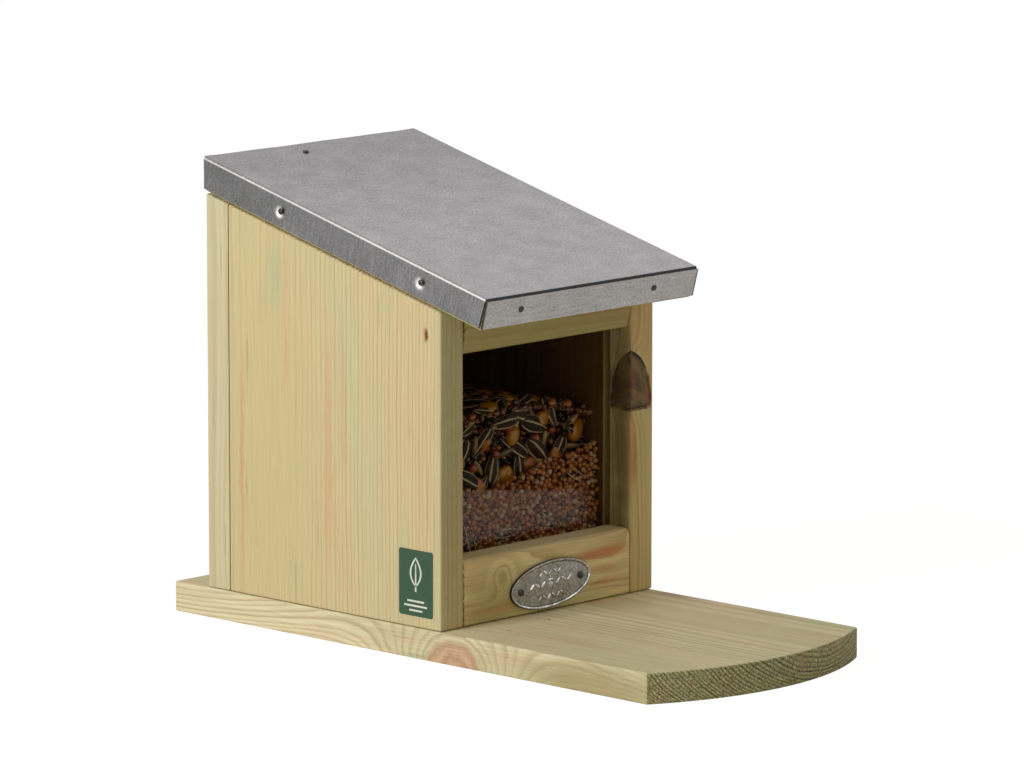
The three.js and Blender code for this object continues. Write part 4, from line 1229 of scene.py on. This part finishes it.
# a tree that puts one fastener on each point, its head along the point's axis
def fastenerTree(name, kind, material):
    armShare, spinSeed = 1.24, 4
    tree, add, given = newTree(name, fastenerLabels)
    headRadius, headHeight, shankRadius = [given[label] for label in fastenerLabels[:3]]
    lower = add("Math MULTIPLY", given["Length"], -0.5)
    if kind == "nail":
        extent = add("CombineXYZ", headRadius, headRadius, headHeight)
        dome = add("MeshUVSphere", Segments=24, Rings=12, Radius=1.0)
        head = add("Transform", Geometry=dome, Scale=extent)
    else:
        cone = add("MeshCone", {"Vertices": 28, "Radius Top": headRadius, "Radius Bottom": shankRadius,
                                "Depth": headHeight})
        under = add("CombineXYZ", {2: add("Math MULTIPLY", headHeight, -1.0)})
        cone = add("Transform", Geometry=cone, Translation=under)
        # a cross recess from two bars
        arm = add("Math MULTIPLY", headRadius, armShare)
        deep = add("Math MULTIPLY", given["Slot Depth"], 2.0)
        head = add("MeshBoolean", {"Mesh 1": cone}, operation="DIFFERENCE", solver="EXACT")
        for spans in ((arm, given["Slot Width"]), (given["Slot Width"], arm)):
            wire(head, {"Mesh 2": add("MeshCube", Size=add("CombineXYZ", *spans, deep))})
        lower = add("Math SUBTRACT", lower, headHeight)
    shank = add("MeshCylinder", Vertices=16, Radius=shankRadius, Depth=given["Length"])
    shank = add("Transform", Geometry=shank, Translation=add("CombineXYZ", {2: lower}))
    whole = add("JoinGeometry")
    for made in (shank, head):
        wire(whole, {"Geometry": made})
    axis = add("InputNamedAttribute FLOAT_VECTOR", Name="axis").outputs["Attribute"]
    turn = add("AlignRotationToVector", Vector=axis, axis="Z")
    spin = add("RandomValue FLOAT_VECTOR", (0, 0, 0), (0, 0, math.tau), Seed=spinSeed)
    spin = add("EulerToRotation", spin)
    turn = add("RotateRotation", {"Rotation": turn, "Rotate By": spin}, rotation_space="LOCAL")
    laid = add("InstanceOnPoints", Points=given["Geometry"], Instance=whole, Rotation=turn)
    return endTree(tree, add, add("RealizeInstances", Geometry=laid), material)


# a CAD node's box in another frame
def boxIn(node, matrix):
    inverse = matrix.inverted()
    places = [inverse @ vert.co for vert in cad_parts[node].data.vertices]
    return [Vector([pick(place[i] for place in places) for i in range(3)]) for pick in (min, max)]


# the seat of each fastener: the outer end of its node, along the way that its head faces
def fastenerPoints(name, rows, matrix, sink):
    places, axes = [], []
    for node, axis in rows:
        low, high = boxIn(node, matrix)
        middle, half = (low + high) / 2, (high - low) / 2
        axis = Vector(axis)
        out = sum(abs(axis[i]) * half[i] for i in range(3))
        places.append(matrix @ (middle + axis * (out - sink * mm)))
        axes.append(matrix.to_3x3() @ axis)
    mesh = flatMesh(name, places)
    stored = mesh.attributes.new("axis", "FLOAT_VECTOR", "POINT")
    stored.data.foreach_set("vector", [value for axis in axes for value in axis])
    return mesh


fastenerSmoothTo = 40
identity = Matrix.Identity(4)
sides = ("left", "right")
rearward, forward = (0, 1, 0), (0, -1, 0)
coverNails = [(f"cover_nail_{s}_{r}", (way, 0, 0))
              for s, way in (("left", -1), ("right", 1)) for r in ("front", "rear")]
coverNails += [(f"cover_nail_front_{s}", forward) for s in sides] + [("cover_nail_top", (0, 0, 1))]
# each set's name, body, kind of fastener, frame, depth of its heads under their node's end, and nodes
for name, body, size, matrix, sink, rows in (
    ("back_screws", "box", "back screw", identity, 0.0,
     [(f"back_screw_{s}_{r}", rearward) for s in sides for r in ("low", "high")]),
    ("hinge_screws_on_box", "box", "hinge screw", identity, -0.3,
     [(f"{s}_hinge_box_screw_{n}", rearward) for s in sides for n in (1, 2)]),
    ("hinge_screws_on_lid", "lid", "hinge screw", identity, -0.3,
     [(f"{s}_hinge_lid_screw_{n}", rearward) for s in sides for n in (1, 2)]),
    ("cover_nails", "lid", "cover nail", lidFrame, 0.75, coverNails),
    ("plate_nails", "box", "plate nail", identity, 0.5, [(f"nameplate_nail_{s}", forward) for s in sides]),
):
    kind = size.split()[1]
    steel = nailSteel if kind == "nail" else screwSteel
    tree = fastenerTree(name.replace("_", " "), kind, steel)
    values = {label: value * mm for label, value in zip(fastenerLabels, fastenerSizes[size])}
    piece = grow(name, fastenerPoints(name, rows, matrix, sink), tree, values, steel)
    dress(smooth(piece, fastenerSmoothTo), body, "fastener_steel", *[node for node, way in rows])

hingeSettings = {
    "leaf": 1.2, "knuckle": 1.9, "bore": 1.15, "corner": 2.0, "cornerSteps": 6, "joggle": 1.6, "gap": 0.4,
    "overlap": 0.2, "clearance": 0.3, "wrap": 285, "turns": 28, "edge": 0.15, "edgeSegments": 2,
    "sharp": 50, "smoothTo": 35,
}


# A leaf bent from strip: a plate with round corners, and tongues that run up its back, round the pin and
# in again. The box's leaf lies under the pin and has two tongues, the lid's stands over it and has one.
def hingeLeaf(side, leaf, settings):
    node = f"{side}_hinge_{leaf}_leaf"
    low, high = sizes[node]
    pinLow, pinHigh = sizes[f"{side}_hinge_pin"]
    axisY, axisZ = (pinLow.y + pinHigh.y) / 2, (pinLow.z + pinHigh.z) / 2
    thick, outer, bore, joggle, corner, overlap, clearance = [
        settings[key] * mm for key in ("leaf", "knuckle", "bore", "joggle", "corner", "overlap", "clearance")]
    knuckleBack = axisY - outer
    third = (pinHigh.x - pinLow.x) / 3
    inner = (pinLow.x + third, pinHigh.x - third)
    gap = settings["gap"] / 2 * mm
    onBox = leaf == "box"
    if onBox:
        sign, plateY = -1, (low.y, low.y + thick)
        spans = [(pinLow.x, inner[0] - gap), (inner[1] + gap, pinHigh.x)]
        farZ, nearZ = low.z, axisZ - outer - (clearance + joggle)
    else:
        sign, plateY = 1, (knuckleBack, knuckleBack + thick)
        spans = [(inner[0] + gap, inner[1] - gap)]
        farZ, nearZ = high.z, axisZ + outer + clearance
    outline = [(low.x, nearZ), (high.x, nearZ)]
    for x, start in ((high.x - corner, 0), (low.x + corner, 90)):
        places = arcPoints((x, 0), corner, start, 90, settings["cornerSteps"])
        outline += [(u, farZ + sign * (v - corner)) for u, v in places]
    skin = prism(outline, "y", *plateY)

    # the tongues in profile
    steps = settings["turns"]
    turns = [180 + sign * settings["wrap"] * step / steps for step in range(steps + 1)]
    start = math.acos((outer - thick) / bore)
    web = [(plateY[0], nearZ - sign * overlap)]
    if onBox:
        web += [(plateY[0], nearZ), (knuckleBack, nearZ + joggle)]
    for radius, row in ((outer, turns), (bore, turns[::-1])):
        for turn in map(math.radians, row):
            if radius == outer or abs(turn - math.pi) >= start:
                web.append((axisY + radius * math.cos(turn), axisZ + radius * math.sin(turn)))
    web.append((knuckleBack + thick, axisZ + sign * bore * math.sin(start)))
    if onBox:
        web += [(knuckleBack + thick, nearZ + joggle), (plateY[1], nearZ)]
    web.append((plateY[1], nearZ - sign * overlap))
    for span in spans:
        skin.from_mesh(meshOf(prism(web, "x", *span), "tongue"))
    piece = meshObject(f"{side}_{leaf}_leaf", meshOf(skin, node), hingeSteel)
    edge = piece.modifiers.new("edge", "BEVEL")
    edge.width = settings["edge"] * mm
    edge.segments = settings["edgeSegments"]
    edge.limit_method = "ANGLE"
    edge.angle_limit = math.radians(settings["sharp"])
    return smooth(settle(piece), settings["smoothTo"])


for side in sides:
    for leaf in ("box", "lid"):
        dress(hingeLeaf(side, leaf, hingeSettings), leaf, "hinge_steel", f"{side}_hinge_{leaf}_leaf")

# the screws that the boards hide, and the hinge pins, keep their CAD shapes
for node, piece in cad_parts.items():
    hidden = node.startswith(("base_screw", "sill_screw", "back_foot_screw", "rail_screw"))
    if hidden or node.endswith("hinge_pin"):
        for place in piece.material_slots:
            place.material = hingeSteel if node.endswith("pin") else screwSteel


print("camera, stage and lamps")
cameraSettings = {
    "place": (-1.8836, -1.8019, 0.5382), "yaw": 0.8055446, "pitch": -0.1669841, "roll": 0.000709,
    "lens": 242.477, "sensor": 36, "reach": 50,
}


def camera(settings):
    yaw, pitch, roll = settings["yaw"], settings["pitch"], settings["roll"]
    look = Vector((math.sin(yaw) * math.cos(pitch), math.cos(yaw) * math.cos(pitch), math.sin(pitch)))
    right = Vector((math.cos(yaw), -math.sin(yaw), 0))
    up = right.cross(look)
    turned = Matrix((right, up, -look)).transposed().to_4x4() @ Matrix.Rotation(roll, 4, "Z")
    data = bpy.data.cameras.new("camera")
    data.lens = settings["lens"]
    data.sensor_width = settings["sensor"]
    data.clip_end = settings["reach"]
    eye = bpy.data.objects.new("camera", data)
    eye.matrix_world = Matrix.Translation(settings["place"]) @ turned
    scene.collection.objects.link(eye)
    scene.camera = eye


camera(cameraSettings)

stageSettings = {
    "floorSize": 30, "floorTone": 0.8, "floorWhite": 1.2, "whiteShare": 0.8, "ambient": 0.32,
    "ambientTone": "#fff5dc",
    "keyPlace": (-1.42, 0.18, 0.86), "keyAim": (0, 0, 0.08), "keySize": 0.5, "keyPower": 14.3,
    "flagAzimuth": 134, "flagDistance": 0.31, "flagSize": (0.11, 0.095), "flagTone": "#0a0908",
}


def quadObject(name, corners, material):
    return meshObject(name, flatMesh(name, corners, [(0, 1, 2, 3)]), material)


# 1 for rays that the eye or a reflection sees, or that pass through the pane
def seenRays(add):
    ray = add("LightPath").outputs
    seen = add("Math MAXIMUM", ray["Is Camera Ray"], ray["Is Glossy Ray"])
    return add("Math MAXIMUM", seen, ray["Is Transmission Ray"])


def stage(settings):
    # the floor is plain pale paint to the lamps, and nearly white to the eye and in reflections
    material, add, shader = newMaterial("pale studio floor")
    tone = settings["floorTone"]
    wire(shader, {"Base Color": (tone, tone, tone, 1), "Roughness": 0.9, "Specular IOR Level": 0.0})
    share = add("Math MULTIPLY", seenRays(add), settings["whiteShare"])
    showMixed(material, add, share, shader, add("Emission", Strength=settings["floorWhite"]))
    half = settings["floorSize"] / 2
    corners = [(-half, -half, 0), (half, -half, 0), (half, half, 0), (-half, half, 0)]
    floor = quadObject("floor", corners, material)

    # a black flag at the front right, as photographers set one, seen only in reflections on the pane
    material, add, shader = newMaterial("black flag cloth")
    wire(shader, {"Base Color": settings["flagTone"], "Roughness": 1.0})
    azimuth = math.radians(settings["flagAzimuth"])
    outward = Vector((math.sin(azimuth), math.cos(azimuth), 0))
    sideways = Vector((outward.y, -outward.x, 0))
    wide, high = settings["flagSize"]
    corners = [outward * settings["flagDistance"] + sideways * (u * wide / 2) + Vector((0, 0, v * high))
               for u, v in ((-1, 0), (1, 0), (1, 1), (-1, 1))]
    flag = quadObject("flag", corners, material)
    flag.visible_camera = flag.visible_diffuse = flag.visible_shadow = False

    lamp = bpy.data.lights.new("key softbox", "AREA")
    lamp.size = settings["keySize"]
    lamp.energy = settings["keyPower"]
    key = bpy.data.objects.new("key softbox", lamp)
    look = Vector(settings["keyAim"]) - Vector(settings["keyPlace"])
    turned = look.normalized().to_track_quat("-Z", "Y").to_matrix().to_4x4()
    key.matrix_world = Matrix.Translation(settings["keyPlace"]) @ turned
    scene.collection.objects.link(key)

    world = bpy.data.worlds.new("studio")
    scene.world = world
    world.use_nodes = True
    add = partial(addNode, world.node_tree)
    seen = seenRays(add)
    level = add("MapRange", seen, {3: settings["ambient"], 4: 1.0})
    warmth = add("Mix RGBA", seen, {6: settings["ambientTone"], 7: (1, 1, 1, 1)})
    wire(world.node_tree.nodes["Background"], {"Color": warmth, "Strength": level})
    scene.view_settings.view_transform = "Standard"


stage(stageSettings)
